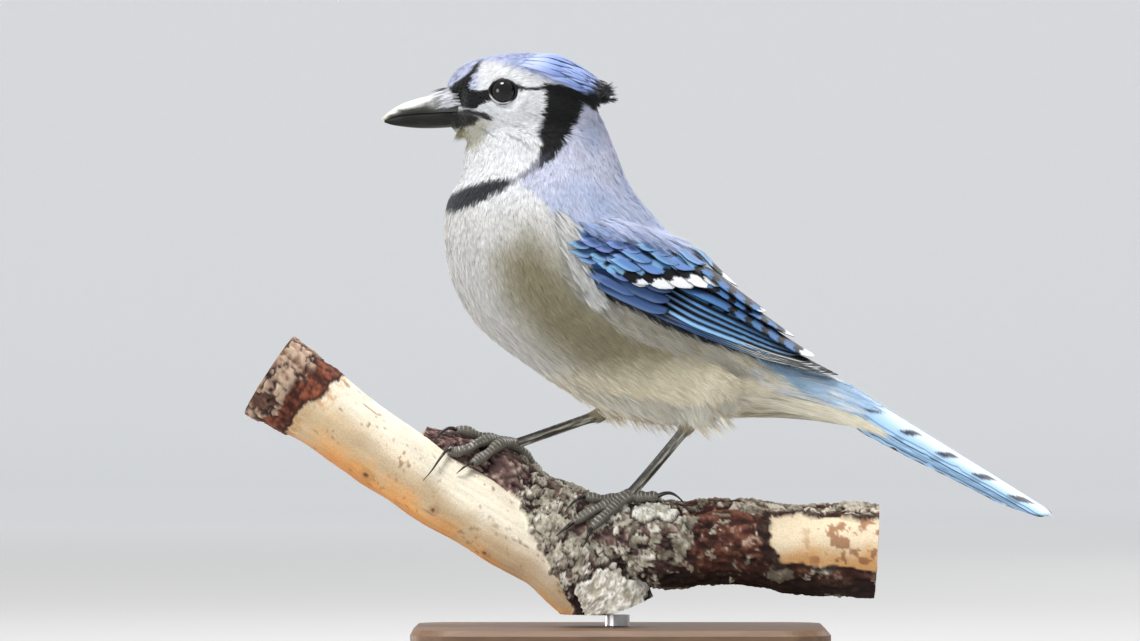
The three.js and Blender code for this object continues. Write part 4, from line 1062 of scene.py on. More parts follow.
class Skin:
    """The body under the plumage, with the way its feathers lie."""

    def __init__(self):
        points, quads = skin_mesh()
        points = relax(points, quads, 6)
        normals = corner_normals(points, quads)
        depth = COAT_DEPTH * (0.45 + 0.55 * smooth(np.linalg.norm(points - (-58, 0, 141), axis=1), 20, 60))
        points = points - normals * depth[:, None]
        self.points, self.quads = self.sink_bill(self.sink_eyes(points)), quads
        self.normals = corner_normals(self.points, quads)
        self.find_flow()
        self.tree = BVHTree.FromPolygons(self.points.tolist(), quads.tolist())

    @staticmethod
    def sink_eyes(points):
        """Presses the skin in round each eye, so that the lids close over it."""
        for side in (-1, 1):
            away = np.hypot(points[:, 0] - EYE[0], points[:, 2] - EYE[2])
            near = (points[:, 1] * side > 4) & (away < LID_EDGE)
            depth = np.where(away < SOCKET, 10.0, 13.1 + 1.0 * smooth(away, SOCKET, LID_EDGE))
            depth = np.minimum(abs(points[:, 1]), depth)
            points[:, 1] = np.where(near, side * depth, points[:, 1])
        return points

    @staticmethod
    def sink_bill(points):
        """Presses the skin in beside the bill, so that the mandibles show back to the gape."""
        x, y, z = points.T
        half = bill_half(x) - 0.5
        span = smooth(z, 133.6, 134.6) * (1 - smooth(z, bill_top(x) - 1.2, bill_top(x) - 0.4))
        press = span * (1 - smooth(x, -59, -54.5))
        reach = np.where(abs(y) > half, abs(y) + (half - abs(y)) * press, abs(y))
        points[:, 1] = np.sign(y) * reach
        return points

    def find_flow(self):
        """Direction in which the feathers lie, and the place on the unwrap, at each point."""
        places, ways, maps = [], [], []
        turn = np.linspace(-np.pi, np.pi, 120, endpoint=False)
        for loft, start, stop, low, high in ((skull, 0.2, 7.4, 0.02, 0.3), (body, 1.0, 12.0, 0.27, 0.98)):
            station = np.linspace(start, stop, 150)[:, None] * np.ones(len(turn))
            angle = np.ones((150, 1)) * turn
            spot = loft.skin(station, angle)
            if loft is body:
                inner = (spot[..., 2] > 130) & (spot[..., 0] < -14)
            else:
                inner = spot[..., 2] < 128
            v = low + (high - low) * (station - start) / (stop - start)
            keep = ~inner.ravel()
            places.append(spot.reshape(-1, 3)[keep])
            ways.append(loft.ahead(station, angle).reshape(-1, 3)[keep])
            maps.append(np.stack([0.02 + 0.82 * (angle / (2 * np.pi) + 0.5), v], -1).reshape(-1, 2)[keep])
        share = np.linspace(0.05, 0.98, 60)[:, None] * np.ones(40)
        angle = np.ones((60, 1)) * np.radians(np.linspace(-80, 80, 40))
        places.append(crest_point(share, angle).reshape(-1, 3))
        ways.append((crest_point(share + 0.02, angle) - crest_point(share - 0.02, angle)).reshape(-1, 3))
        maps.append(np.stack([0.43 + angle * 0.05, 0.05 + 0.2 * share], -1).reshape(-1, 2))
        for k, leg in enumerate(LEGS.values()):
            s, down, spot = thigh_rings(leg, 0.35)
            places.append(spot.reshape(-1, 3))
            ways.append(np.tile(down, (spot.shape[0] * spot.shape[1], 1)))
            u = 0.87 + 0.12 * np.linspace(0, 1, 32)[None, :] * np.ones((16, 1))
            v = 0.1 + 0.4 * k + 0.35 * s[:, None] * np.ones(32)
            maps.append(np.stack([u, v], -1).reshape(-1, 2))
        places, ways, maps = np.vstack(places), unit(np.vstack(ways)), np.vstack(maps)
        tree = kdtree.KDTree(len(places))
        for i, place in enumerate(places):
            tree.insert(place, i)
        tree.balance()
        nearest = np.array([tree.find(point)[1] for point in self.points])
        flow = ways[nearest]
        for side in (-1, 1):
            away = self.points - EYE * (1, side, 1)
            gap = np.linalg.norm(away, axis=1)
            push = unit(away) * np.exp(-((gap - 6) / 3.5) ** 2)[:, None]
            flow = flow + push * 0.8
        flow = relax(unit(flow), self.quads, 12)
        flow = flow - self.normals * np.sum(flow * self.normals, 1, keepdims=True)
        self.flow = unit(flow)
        self.map = maps[nearest]

    def project(self, place):
        """Nearest place on the skin, with its smooth normal and flow."""
        spot, _, face, _ = self.tree.find_nearest(Vector(place))
        corners = self.quads[face]
        gap = np.linalg.norm(self.points[corners] - np.array(spot), axis=1)
        weight = 1 / (gap + 0.05)
        weight /= weight.sum()
        return np.array(spot), weight @ self.normals[corners], weight @ self.flow[corners], corners[0]

    def scatter(self, spacing_at, keep_at, rng):
        """Places of the skin about a spacing apart, as places, normals, flows and maps."""
        a, b, c, d = (self.points[self.quads[:, k]] for k in range(4))
        area = np.linalg.norm(np.cross(c - a, d - b), axis=1) / 2
        centre = (a + b + c + d) / 4
        spacing = spacing_at(centre)
        weight = area / spacing**2 * keep_at(centre)
        chance = weight / weight.sum()
        tries = int(weight.sum() * 2.4)
        face = rng.choice(len(area), tries, p=chance)
        u, v = rng.random((2, tries, 1))
        corner = self.quads[face]
        share = np.stack([(1 - u) * (1 - v), u * (1 - v), u * v, (1 - u) * v], 1)[..., 0]
        spots = np.einsum("nk,nkd->nd", share, self.points[corner])
        kept = spread_out(spots, spacing[face] * 0.72)
        share = share[kept][..., None]
        corner = corner[kept]
        normals = unit((self.normals[corner] * share).sum(1))
        flow = unit((self.flow[corner] * share).sum(1))
        return spots[kept], normals, flow, self.map[corner[:, 0]]


skin = Skin()

# Plumage


def feather_length(p):
    """Length of the small feathers: least at the bill, most on belly and flanks."""
    away = np.linalg.norm(p - (-60, 0, 140), axis=1)
    length = np.clip(1.5 + 0.095 * away, 1.7, 12)
    upper = smooth(p[:, 2] + 0.75 * p[:, 0], 88, 104) * smooth(p[:, 0], -20, 10)
    length = length * (1 - 0.3 * upper)
    thigh = np.zeros(len(p))
    for leg in LEGS.values():
        thigh = np.maximum(thigh, smooth(np.linalg.norm(p - np.array(leg["heel"]), axis=1), 14, 5))
    crest = smooth(p[:, 2], 152, 158) * smooth(p[:, 0], -40, -20)
    length = length * (1 + 0.5 * crest)
    return length * (1 - 0.6 * thigh)


def feather_spacing(p):
    """Room between the roots of the small feathers."""
    return 0.45 + 0.11 * feather_length(p)


def under_wing(p):
    """1 where the wing's feathers hide the skin."""
    return outline_mask(to_px(p), WING_COVER_PX, 3) * smooth(abs(p[:, 1]), 3, 6)


def keep_tuft(p):
    """1 where tufts grow: not on the eyes, beside the bill, under the wing or on the tail's root."""
    eye = np.ones(len(p))
    for side in (-1, 1):
        away = np.hypot(p[:, 0] - EYE[0], (p[:, 2] - EYE[2]) / 0.86)
        eye = np.minimum(eye, np.where((p[:, 1] * side > 4) & (away < 5.5), 0, 1))
    beside = (p[:, 2] > 134.2) & (p[:, 2] < bill_top(p[:, 0]) - 0.2)
    beside = beside & (p[:, 0] < np.where(p[:, 2] < 139.3, -60.8, -57))
    bill = beside & (abs(p[:, 1]) < bill_half(p[:, 0]) + 0.2)
    end = smooth(p[:, 0], 83, 79)
    return eye * ~bill * (1 - 0.95 * under_wing(p)) * end


class Coat:
    """Tufts of barbs along short shafts on the skin."""

    def __init__(self):
        self.parts = []

    def lay(self, roots, normals, flow, length, width, lift, barbs, strand, uv, tint=None):
        """Shafts that follow the skin from their roots along the flow."""
        shafts = np.zeros((len(roots), 3, 3))
        tops = np.zeros((len(roots), 3, 3))
        shafts[:, 0], tops[:, 0] = roots, normals
        for i in range(len(roots)):
            place, normal, way = roots[i], normals[i], flow[i]
            for k in (1, 2):
                ahead = place + way * length[i] / 2
                spot, up, onward, _ = skin.project(ahead)
                if up @ normal > 0.35 and np.linalg.norm(spot - ahead) < 2.5:
                    place, normal = spot, up / np.linalg.norm(up)
                    mixed = way * 0.6 + onward * 0.4
                    mixed = mixed - normal * (mixed @ normal)
                    way = mixed / np.linalg.norm(mixed)
                else:
                    place = ahead - normal * 0.12 * length[i] * k
                shafts[i, k], tops[i, k] = place, normal
        self.add(shafts, tops, width, lift, barbs, strand, uv, tint)

    def add(self, shafts, tops, width, lift, barbs, strand, uv, tint=None):
        """Keeps tufts. Without a tint they take the markings' colour."""
        if tint is None:
            tint = np.full((len(shafts), 3), -1.0)
        each = [np.broadcast_to(np.asarray(v, float), (len(shafts),)) for v in (width, lift, barbs, strand)]
        each[2] = each[2].astype(int)
        self.parts.append((shafts, tops, *each, np.asarray(uv), tint))

    def build(self, rng):
        """All barbs as points, tints, maps and their tuft's root."""
        joined = (np.concatenate(part) for part in zip(*self.parts))
        shafts, tops, width, lift, barbs, strand, uv, tint = joined
        tuft = np.repeat(np.arange(len(shafts)), barbs)
        total = len(tuft)
        side = rng.uniform(-1, 1, total)
        side = np.sign(side) * abs(side) ** 0.8
        start = rng.uniform(0, 0.5, total) * (1 - 0.5 * abs(side))
        stop = 1 - 0.3 * side**2 - rng.uniform(0, 0.14, total)
        lateral = side * width[tuft]
        height = lift[tuft] * rng.uniform(0.55, 1.15, total)
        tone = rng.uniform(0.93, 1.04, total) * rng.uniform(0.965, 1.025, len(shafts))[tuft]
        forward = unit(shafts[:, 2] - shafts[:, 0])
        across = unit(np.cross(tops, forward[:, None]))
        points = np.zeros((total, 5, 3))
        centres = []
        for k, u in enumerate((0.0, 0.55, 1.0)):
            s = (start + (stop - start) * u)[:, None]
            w0, w1, w2 = (1 - s) * (1 - 2 * s), 4 * s * (1 - s), s * (2 * s - 1)
            place = w0 * shafts[tuft, 0] + w1 * shafts[tuft, 1] + w2 * shafts[tuft, 2]
            up = unit(w0 * tops[tuft, 0] + w1 * tops[tuft, 1] + w2 * tops[tuft, 2])
            beside = unit(w0 * across[tuft, 0] + w1 * across[tuft, 1] + w2 * across[tuft, 2])
            out = lateral * u**0.9
            rise = -0.25 * (1 - s[:, 0]) + height * s[:, 0] ** 0.7 - 0.05 * out**2 / (1 + width[tuft])
            centre = place + beside * out[:, None] + up * rise[:, None]
            centres.append(centre)
            if k == 2:
                points[:, 4] = centre
                continue
            half = (strand[tuft] * (0.5, 0.42)[k])[:, None]
            blade = unit(beside + up * rng.normal(0, 0.25, total)[:, None])
            points[:, 2 * k] = centre - blade * half
            points[:, 2 * k + 1] = centre + blade * half
        jitter = rng.normal(0, 0.35, total)[:, None]
        sample = centres[1] * 0.4 + centres[2] * 0.6 + forward[tuft] * jitter
        colour = markings(sample)
        own = tint[tuft]
        colour = np.where(own[:, :1] >= 0, own, colour)
        colour = colour * tone[:, None]
        spread = np.repeat(colour[:, None], 5, 1) * np.array([0.88, 0.88, 1, 1, 1.02])[:, None]
        place = uv[tuft][:, None] + 0.003 * (rng.random((total, 1, 2)) - 0.5)
        place = place + 0.0004 * np.array([(0, 0), (1, 0), (0, 1), (1, 1), (0.5, 2)])
        return points, spread, place, shafts[tuft, 0]


def coat_pieces(coat, rng):
    """Splits the barbs by region into pieces and dresses each."""
    points, tint, uv, root = coat.build(rng)
    away = root[:, 0] * 0.55 - root[:, 2] * 0.83
    left = root[:, 1] < 0
    soft = coat_material("plumage_soft", 0.75, 0.25)
    low = -np.inf
    for name, high, slot in COAT_REGIONS:
        for side, chosen in (("left", left), ("right", ~left)):
            pick = np.where(chosen & (away >= low) & (away < high))[0]
            if not len(pick):
                continue
            base = np.arange(len(pick))[:, None] * 5
            quads = base + np.array([0, 1, 3, 2])
            tris = base + np.array([2, 3, 4])
            own, shade, place = (v[pick].reshape(len(pick) * 5, -1) for v in (points, tint, uv))
            dress(make_mesh(f"coat_{name}_{side}", own, quads, tris, shade, place), slot, soft)
        low = high


def body_coat(coat):
    """The small feathers of head, neck, body and thighs."""
    rng = np.random.default_rng(5)
    roots, normals, flow, uv = skin.scatter(feather_spacing, keep_tuft, rng)
    length = feather_length(roots) * rng.uniform(0.85, 1.15, len(roots))
    turn = rng.normal(0, 0.09, len(roots))[:, None]
    flow = unit(flow + np.cross(normals, flow) * turn)
    coat.lay(
        roots,
        normals,
        flow,
        length,
        width=0.12 + 0.21 * length,
        lift=0.3 + 0.07 * length,
        barbs=np.interp(length, [2, 5, 11], [13, 22, 30]).astype(int),
        strand=0.13 + 0.008 * length,
        uv=uv,
    )


def skin_piece():
    """The skin under the tufts, a little darker than they are."""
    tint = markings(skin.points) * 0.88
    piece = make_mesh("skin", skin.points, skin.quads, tint=tint, uv=skin.map)
    made = coat_material("skin_down", 0.85, 0.1)
    dress(piece, "plumage_white", made, "head", "neck", "torso", "thigh_left", "thigh_right")


# Vanes: wings, tail and crest, feather by feather. A pattern gives a vane's colour by the millimetres
# from its tip, the share across it from -1 to 1 and the millimetres from its shaft.


def vane(batch, place, half, pattern, tile, rng, rows, columns=13, shaft=0.0, camber=0.5, fray=0.05):
    """One closed feather. place maps a share along it, millimetres across and a height to a point."""
    middle = int(round((columns - 1) * (shaft + 1) / 2))
    middle = min(max(middle, 2), columns - 3)
    c = np.concatenate([np.linspace(-1, shaft, middle + 1)[:-1], np.linspace(shaft, 1, columns - middle)])
    s = np.linspace(0, 1, rows)
    s = 1 - (1 - s) ** 1.12
    uneven = abs(value_noise(np.stack([c * 2.3, c * 0, c * 0 + rng.uniform(0, 50)], -1), 1.0, 7, 2))
    share = s[:, None] * (1 - fray * np.minimum(uneven, 1)[None, :] * s[:, None] ** 8)
    widths = np.maximum(half(s), 0.12)
    ragged = 1 - 0.05 * abs(wave(np.stack([s * 60, s * 0, s * 0], -1), 5, int(rng.integers(99))))
    for _ in range(2):
        ragged -= 0.2 * np.exp(-(((s - rng.uniform(0.35, 0.97)) / 0.012) ** 2)) * rng.random()
    across = c[None, :] * np.where(abs(c) > 0.9, ragged[:, None], 1) * widths[:, None]
    height = camber * (1 - c[None, :] ** 2) * widths[:, None] * 0.16 * np.ones((rows, 1))
    top = place(share, across, height)
    ends = [0, middle, columns - 1]
    under = place(share[:, ends], across[:, ends], height[:, ends] - VANE_THICKNESS)
    steps = np.linalg.norm(np.diff(top[:, middle], axis=0), axis=1)
    along = np.concatenate([[0], np.cumsum(steps)])
    from_tip = (along[-1] - along)[:, None] * np.ones(columns)
    beside = (c[None, :] - shaft) * widths[:, None]
    tint = pattern(from_tip, np.repeat(c[None, :], rows, 0), beside, rng)
    tint = np.clip(tint * rng.uniform(0.95, 1.04), 0, 1)
    below = np.full((rows, 3, 3), 0.42) * (0.9, 0.95, 1)
    first = rows * columns
    quads = [grid_quads(rows, columns), grid_quads(rows, 3, start=first)[:, ::-1]]
    r = np.arange(rows - 1)
    for edge, low in ((0, 0), (columns - 1, 2)):
        t0, t1 = r * columns + edge, (r + 1) * columns + edge
        b0, b1 = first + r * 3 + low, first + (r + 1) * 3 + low
        side = np.stack([t0, b0, b1, t1], -1)
        quads.append(side[:, ::-1] if low else side)
    tris = []
    for row, way in ((0, 1), (rows - 1, -1)):
        high, low = row * columns, first + row * 3
        cap = [(high + j, high + j + 1, low + (0 if j < middle else 2)) for j in range(columns - 1)]
        cap += [(low, high + middle, low + 1), (low + 1, high + middle, low + 2)]
        tris += [t[::way] for t in cap]
    u0, v0, size = tile
    high_u = 0.04 + 0.7 * (c[None, :] + 1) / 2 * np.ones((rows, 1))
    low_u = np.array([0.8, 0.87, 0.94])[None, :] * np.ones((rows, 1))
    v = v0 + size * (0.03 + 0.94 * share)
    flat = np.stack([u0 + size * high_u, v], -1)
    flat_low = np.stack([u0 + size * low_u, v[:, ends]], -1)
    batch.add(
        np.concatenate([top.reshape(-1, 3), under.reshape(-1, 3)]),
        np.vstack(quads),
        np.array(tris),
        tint=np.concatenate([tint.reshape(-1, 3), below.reshape(-1, 3)]),
        uv=np.concatenate([flat.reshape(-1, 2), flat_low.reshape(-1, 2)]),
        barb=np.concatenate([(-from_tip - 1.25 * abs(beside)).ravel(), np.zeros(rows * 3)]),
    )


def tiles(count):
    """Places of equal squares on a map."""
    side = math.ceil(math.sqrt(count))
    return [((k % side) / side, (k // side) / side, 1 / side) for k in range(count)]


def tip_round(s, length, half):
    """Width of a vane along it, from a narrow root to a round tip."""
    start = max(1 - half * 1.25 / length, 0.3)
    end = np.sqrt(np.clip(1 - ((s - start) / (1 - start)).clip(0, 1) ** 2.2, 0, 1))
    return half * (0.55 + 0.45 * smooth(s, 0, 0.3)) * end


# Where each place of the photograph lies on the folded wing


class WingMap:
    """Finds the place on the body for a pixel of the wing, at a height over the body."""

    def __init__(self):
        self.station = np.repeat(np.linspace(4, 12, 320)[:, None], 110, 1).ravel()
        self.angle = np.radians(np.repeat(np.linspace(3, 96, 110)[None, :], 320, 0)).ravel()
        self.trees = []
        for lift in LIFTS:
            spots = body.at(self.station, self.angle, np.full(self.angle.shape, lift))
            tree = kdtree.KDTree(len(spots))
            for i, spot in enumerate(spots):
                tree.insert((spot[0], spot[2], 0), i)
            tree.balance()
            self.trees.append(tree)

    def find(self, px, lift):
        """Station and angle of a pixel at a height over the body."""
        level = self.trees[int(round(min(max(lift, 0), LIFTS[-1])))]
        nearest = level.find((*from_px(px), 0))[1]
        return self.station[nearest], self.angle[nearest]

    def path(self, root, tip, lift, bow=0.0):
        """Station and angle as smooth functions along a line of the photograph."""
        s = np.linspace(0, 1, 15)
        root, tip = np.array(root, float), np.array(tip, float)
        run = tip - root
        side = np.array([-run[1], run[0]]) / np.linalg.norm(run)
        spots = [self.find(root + run * t + side * bow * math.sin(math.pi * t), lift(t)) for t in s]
        station = np.polyfit(s, [p[0] for p in spots], 3)
        angle = np.polyfit(s, [p[1] for p in spots], 3)
        return station, angle


wing_map = WingMap()


def wing_place(root, tip, lifts, lean, bow=0.0, anchor=0.0, half=3.0, drop=0.0):
    """A function that lays a vane on the left wing. anchor 1 puts the line on its lower edge."""

    def lift(share):
        return lifts[0] + (lifts[1] - lifts[0]) * smooth(share, 0, 0.45) + (lifts[2] - lifts[1]) * share

    station_fit, angle_fit = wing_map.path(root, tip, lift, bow)

    def place(share, across, height):
        station = np.polyval(station_fit, share)
        angle = np.polyval(angle_fit, share)
        lateral = across - anchor * half
        reach = np.maximum(body.per_radian(station, angle), 2.0)
        turned = np.maximum(angle + lateral / reach, 0.5 / reach)
        rise = lift(share) + lean * across - drop * smooth(share, 0.2, 1)
        return body.at(station, turned, rise + height)

    return place


def jag(beside, rng, size):
    """Uneven run of a bar's edge across a vane."""
    phase = rng.uniform(0, 6)
    return size * (np.sin(beside * 1.9 + phase) + 0.6 * np.sin(beside * 4.3 + phase * 2))


def pattern_greater(white, black):
    """Greater covert: blue with a black bar and a white tip, by millimetres from the tip."""

    def paint(d, c, beside, rng):
        d = d + jag(beside, rng, 0.45) + 0.35 * abs(beside)
        tint = mix(AZURE, SKY, smooth(c, -0.2, 0.8)) * (0.94 + 0.06 * np.sin(d))[..., None]
        tint = mix(tint, INK, band(d, white, black))
        tint = mix(tint, INK, band(d, black + 4.5, black + 7) * smooth(-c, -0.5, 0.2))
        return mix(tint, WHITE, band(d, -9, white, 0.35))

    return paint


def pattern_plain(colour, edge, dark):
    """A vane of one colour with its own edge."""

    def paint(d, c, beside, rng):
        tint = mix(colour, edge, smooth(c, 0.1, 0.9))
        tint = mix(tint, np.asarray(colour) * 0.6, smooth(-c, 0.5, 1.0))
        # The dark lines along both edges, as strong as dark, are painted shadow where the feathers overlap
        return mix(tint, INK, smooth(abs(c), 0.86, 1.0) * dark)

    return paint


def pattern_alula(d, c, beside, rng):
    """Barred blue vane at the wing's bend."""
    tint = mix(AZURE, SKY, smooth(c, -0.7, 0.5))
    tint = mix(tint, PERIWINKLE, 1 - smooth(d, 3, 7))
    for at in (5.0, 10.5, 15.5):
        tint = mix(tint, INK, band(d + 0.5 * beside, at - 0.9, at + 0.9) * smooth(-c, -0.75, -0.2))
    return mix(tint, INK, smooth(-c, 0.75, 0.95))


def pattern_tertial(white):
    """Barred tertial with a white edge and tip."""

    def paint(d, c, beside, rng):
        d = d + jag(beside, rng, 0.5)
        tint = mix(NAVY, AZURE, smooth(c, -0.3, 0.9))
        for at in np.arange(7.5, 40, 7.2):
            slant = d + 0.55 * beside
            tint = mix(tint, INK, band(slant, at - 1.5, at + 1.5) * smooth(c, -0.55, -0.2))
        tint = mix(tint, INK, smooth(-c, 0.1, 0.5))
        tint = mix(tint, WHITE, smooth(-c, 0.72, 0.86) * (1 - smooth(d, 30, 40)))
        return mix(tint, WHITE, band(d, -9, white, 0.3))

    return paint


def pattern_secondary(barred, pale):
    """Secondary: blue strip along a dark vane, barred on the uppermost ones."""

    def paint(d, c, beside, rng):
        strip = mix(AZURE * 0.95, PALE_SKY, np.full(d.shape, pale))
        tint = mix(AZURE * 0.75, strip, smooth(c, 0.2, 0.62))
        tint = mix(tint, STRIP_END, (1 - smooth(d, 4, 20)) * smooth(c, 0.4, 0.7) * pale * 0.8)
        if barred:
            for at in np.arange(9, 45, 6.5):
                tint = mix(tint, INK, band(d + jag(beside, rng, 0.3), at - 0.9, at + 0.9) * 0.9)
        tint = mix(tint, INK, 1 - smooth(c, 0.12, 0.34))
        tint = mix(tint, INK, smooth(c, 0.72 + 0.12 * pale, 0.8 + 0.12 * pale) * 0.94)
        return mix(tint, WHITE, band(d, -9, 1.2, 0.3) * 0.8)

    return paint


def pattern_primary(d, c, beside, rng):
    """Dark primary with a thin pale edge."""
    edge = mix(*PRIMARY_EDGE, smooth(d, 26, 52))
    tint = mix(*PRIMARY, smooth(c, -0.2, 0.6))
    tint = mix(tint, edge, band(c, 0.72, 0.86, 0.04))
    return mix(tint, INK, smooth(c, 0.9, 0.96))


def pattern_lesser(d, c, beside, rng):
    """Small blue covert, darker along its middle."""
    own = rng.uniform(-0.06, 0.06)
    tint = mix((0.30, 0.42, 0.60), (0.47, 0.60 + own, 0.78), smooth(c, -0.7, 0.8))
    tint = mix(tint, LESSER_TIP, (1 - smooth(d, 0.3, 2.4)) * 0.15)
    dark = (1 - smooth(abs(c + 0.35), 0.1, 0.8)) * band(d, 1.8, 6.5, 1.2)
    return mix(tint, LESSER_DARK, dark * rng.uniform(0.25, 0.8))


def pattern_spot(d, c, beside, rng):
    """Black vane with a white tip."""
    tint = mix(WHITE, INK, smooth(d + jag(beside, rng, 0.3), 3.4, 4.0))
    return mix(tint, SLATE, smooth(d, 7, 8))


def fan(first, last, count):
    """Feathers evenly spread between a first and a last one, as root and tip places."""
    first, last = np.array(first, float), np.array(last, float)
    return [first + (last - first) * k / (count - 1) for k in range(count)]


def behind(tips, back):
    """Feathers with the same run, from their tips."""
    return [np.array([(tip[0] - back[0], tip[1] - back[1]), tip], float) for tip in tips]


def wing_row(feathers, half, lifts, patterns, bows=(0, 0), anchor=0, lean=0.12, drop=0.0, shaft=0.0):
    """A row of wing feathers. bows run from its first to its last one, and drop grows along it."""
    halves = half if isinstance(half, list) else [half] * len(feathers)
    fray = 0.14 if max(halves) < 3.1 else 0.05
    return feathers, halves, lifts, patterns, bows, anchor, lean, drop, shaft, fray


# Rows of the wing from the lowest layer to the top one. Places are pixels of the photograph.
GREATER_TIPS = [(738, 286), (724, 288), (709, 288), (691, 289), (671, 290), (648, 285)]
GREATER_ROOTS = [root for root, _ in fan(((676, 232), (0, 0)), ((604, 252), (0, 0)), 6)]
MEDIAN_TIPS = [(706, 266), (692, 272), (678, 266), (663, 275), (650, 264), (639, 272)]
LESSER_TIPS = [(630, 262), (619, 264), (607, 261), (596, 265), (589, 258)]
SCAPULAR_TIPS = [(668, 257), (655, 252), (638, 254), (625, 250), (611, 253), (600, 248), (588, 250)]
# Millimetres from the tip at which the white and the black of each greater covert end
GREATER_BARS = [(8.5, 13.5), (8, 13), (7.6, 12.8), (7.2, 12.0), (6.4, 11.0), (3.4, 9)]
# How pale the strip of each secondary is
PALENESS = (0.05, 0.15, 0.25, 0.3, 0.45, 0.8)
MEDIAN_BLUE = (PERIWINKLE + AZURE) / 2
WING_ROWS = [
    wing_row(
        fan(((640, 298), (806, 366)), ((603, 291), (836, 377)), 6),
        half=3.2,
        lifts=(0.2, 1.6, 5.2),
        patterns=[pattern_primary] * 6,
        bows=(5, 10),
        anchor=1,
        lean=0.16,
        drop=0.16,
        shaft=0.45,
    ),
    wing_row(
        fan(((664, 279), (801, 350)), ((652, 309), (796, 362)), 6),
        half=4.0,
        lifts=(1.2, 2.2, 5.4),
        patterns=[pattern_secondary(i < 2, pale) for i, pale in enumerate(PALENESS)],
        bows=(0, 5),
        anchor=1,
        lean=0.2,
        drop=0.2,
        shaft=0.3,
    ),
    wing_row(
        fan(((606, 262), (669, 293)), ((588, 277), (666, 313)), 3),
        half=3.4,
        lifts=(1.0, 2.9, 3.4),
        patterns=[pattern_plain(SLATE * 1.2, (0.37, 0.47, 0.64), 0.5)] * 3,
        bows=(0, 2),
        drop=0.15,
        shaft=0.1,
    ),
    wing_row(
        [((668, 248), (766, 314)), ((662, 258), (795, 337)), ((655, 270), (815, 356))],
        half=4.2,
        lifts=(-0.8, 3.2, 7.4),
        patterns=[pattern_tertial(white) for white in (1.2, 3.6, 4.6)],
        bows=(-2, -3),
        lean=0.14,
        drop=0.3,
        shaft=-0.1,
    ),
    wing_row(
        list(zip(GREATER_ROOTS, GREATER_TIPS)),
        half=4.1,
        lifts=(-0.9, 3.8, 4.8),
        patterns=[pattern_greater(white, black) for white, black in GREATER_BARS],
    ),
    wing_row(
        behind(MEDIAN_TIPS, (36, 21)),
        half=3.0,
        lifts=(-0.9, 4.2, 5.2),
        patterns=[pattern_plain(MEDIAN_BLUE, (SKY, PERIWINKLE)[i in (1, 3)], 0.7) for i in range(6)],
    ),
    wing_row(
        [((580, 244), (631, 281)), ((612, 264), (645, 287)), ((580, 266), (635, 296))],
        half=[3.2, 2.0, 2.5],
        lifts=(1.2, 4.2, 4.0),
        patterns=[pattern_alula, pattern_spot, pattern_plain((0.27, 0.37, 0.56), (0.38, 0.50, 0.69), 0.5)],
        bows=(0, 1),
        lean=0.1,
        drop=0.3,
        shaft=0.1,
    ),
    wing_row(behind(LESSER_TIPS, (20, 12)), 2.5, (-0.5, 3.8, 4.6), [pattern_lesser] * 5, lean=0.1),
    wing_row(behind(SCAPULAR_TIPS, (20, 12)), 2.5, (-0.5, 4.2, 5.0), [pattern_lesser] * 7, lean=0.1),
]


def wings():
    """Both wings, vane by vane, the right one mirrored from the left one."""
    spots = iter(tiles(sum(len(feathers) for feathers, *_ in WING_ROWS)))
    batch = Batch()
    rng = np.random.default_rng(31)
    for feathers, halves, lifts, patterns, bows, anchor, lean, drop, shaft, fray in WING_ROWS:
        for i, (line, half, pattern) in enumerate(zip(feathers, halves, patterns)):
            root, tip = np.array(line, float)
            length = np.linalg.norm(tip - root) * PIXEL
            t = i / (len(feathers) - 1)
            bow = bows[0] * (1 - t) + bows[1] * t
            place = wing_place(root, tip, lifts, lean, bow, anchor, half, drop * i)
            width = partial(tip_round, length=length, half=half)
            rows = max(int(length / VANE_STEP), 24)
            vane(batch, place, width, pattern, next(spots), rng, rows, shaft=shaft, fray=fray)
    blue = vane_material("wing_vanes")
    for side, flip in (("left", False), ("right", True)):
        piece = batch.piece(f"wing_{side}_vanes", flip=flip)
        dress(piece, "plumage_blue", blue, f"wing_{side}")


# Tail

tail_ahead = unit(np.array([TAIL_TIP[0] - TAIL_ROOT[0], 0, TAIL_TIP[1] - TAIL_ROOT[1]], float))
tail_up = np.array([-tail_ahead[2], 0, tail_ahead[0]])


def tail_point(along, side, across, height):
    """A point of the closed tail, whose section is an arch that falls steeply at its sides."""
    span = np.linspace(0, TAIL["reach"] * 1.15, 90)
    fall = (span / TAIL["reach"]).clip(0, 1) ** 1.5
    angle = np.radians(TAIL["roof"] + (TAIL["steep"] - TAIL["roof"]) * fall)
    step = span[1] - span[0]
    out = np.cumsum(np.cos(angle)) * step
    down = np.cumsum(np.sin(angle)) * step
    reach = abs(across)
    narrow = 0.62 + 0.38 * smooth(along, -4, 34)
    y = np.interp(reach, span, out) * np.sign(across) * narrow
    z = -np.interp(reach, span, down) * (1.12 - 0.52 * smooth(along, 0, 88))
    lean = np.interp(reach, span, angle)
    droop = TAIL["sunk"] * (1 - smooth(along, TAIL["start"], 3))
    point = np.array([TAIL_ROOT[0], 0, TAIL_ROOT[1]]) + tail_ahead * along[..., None]
    point = point + tail_up * (z + height * np.cos(lean) - droop)[..., None]
    point[..., 1] = -side * (y + height * np.sin(lean))
    return point


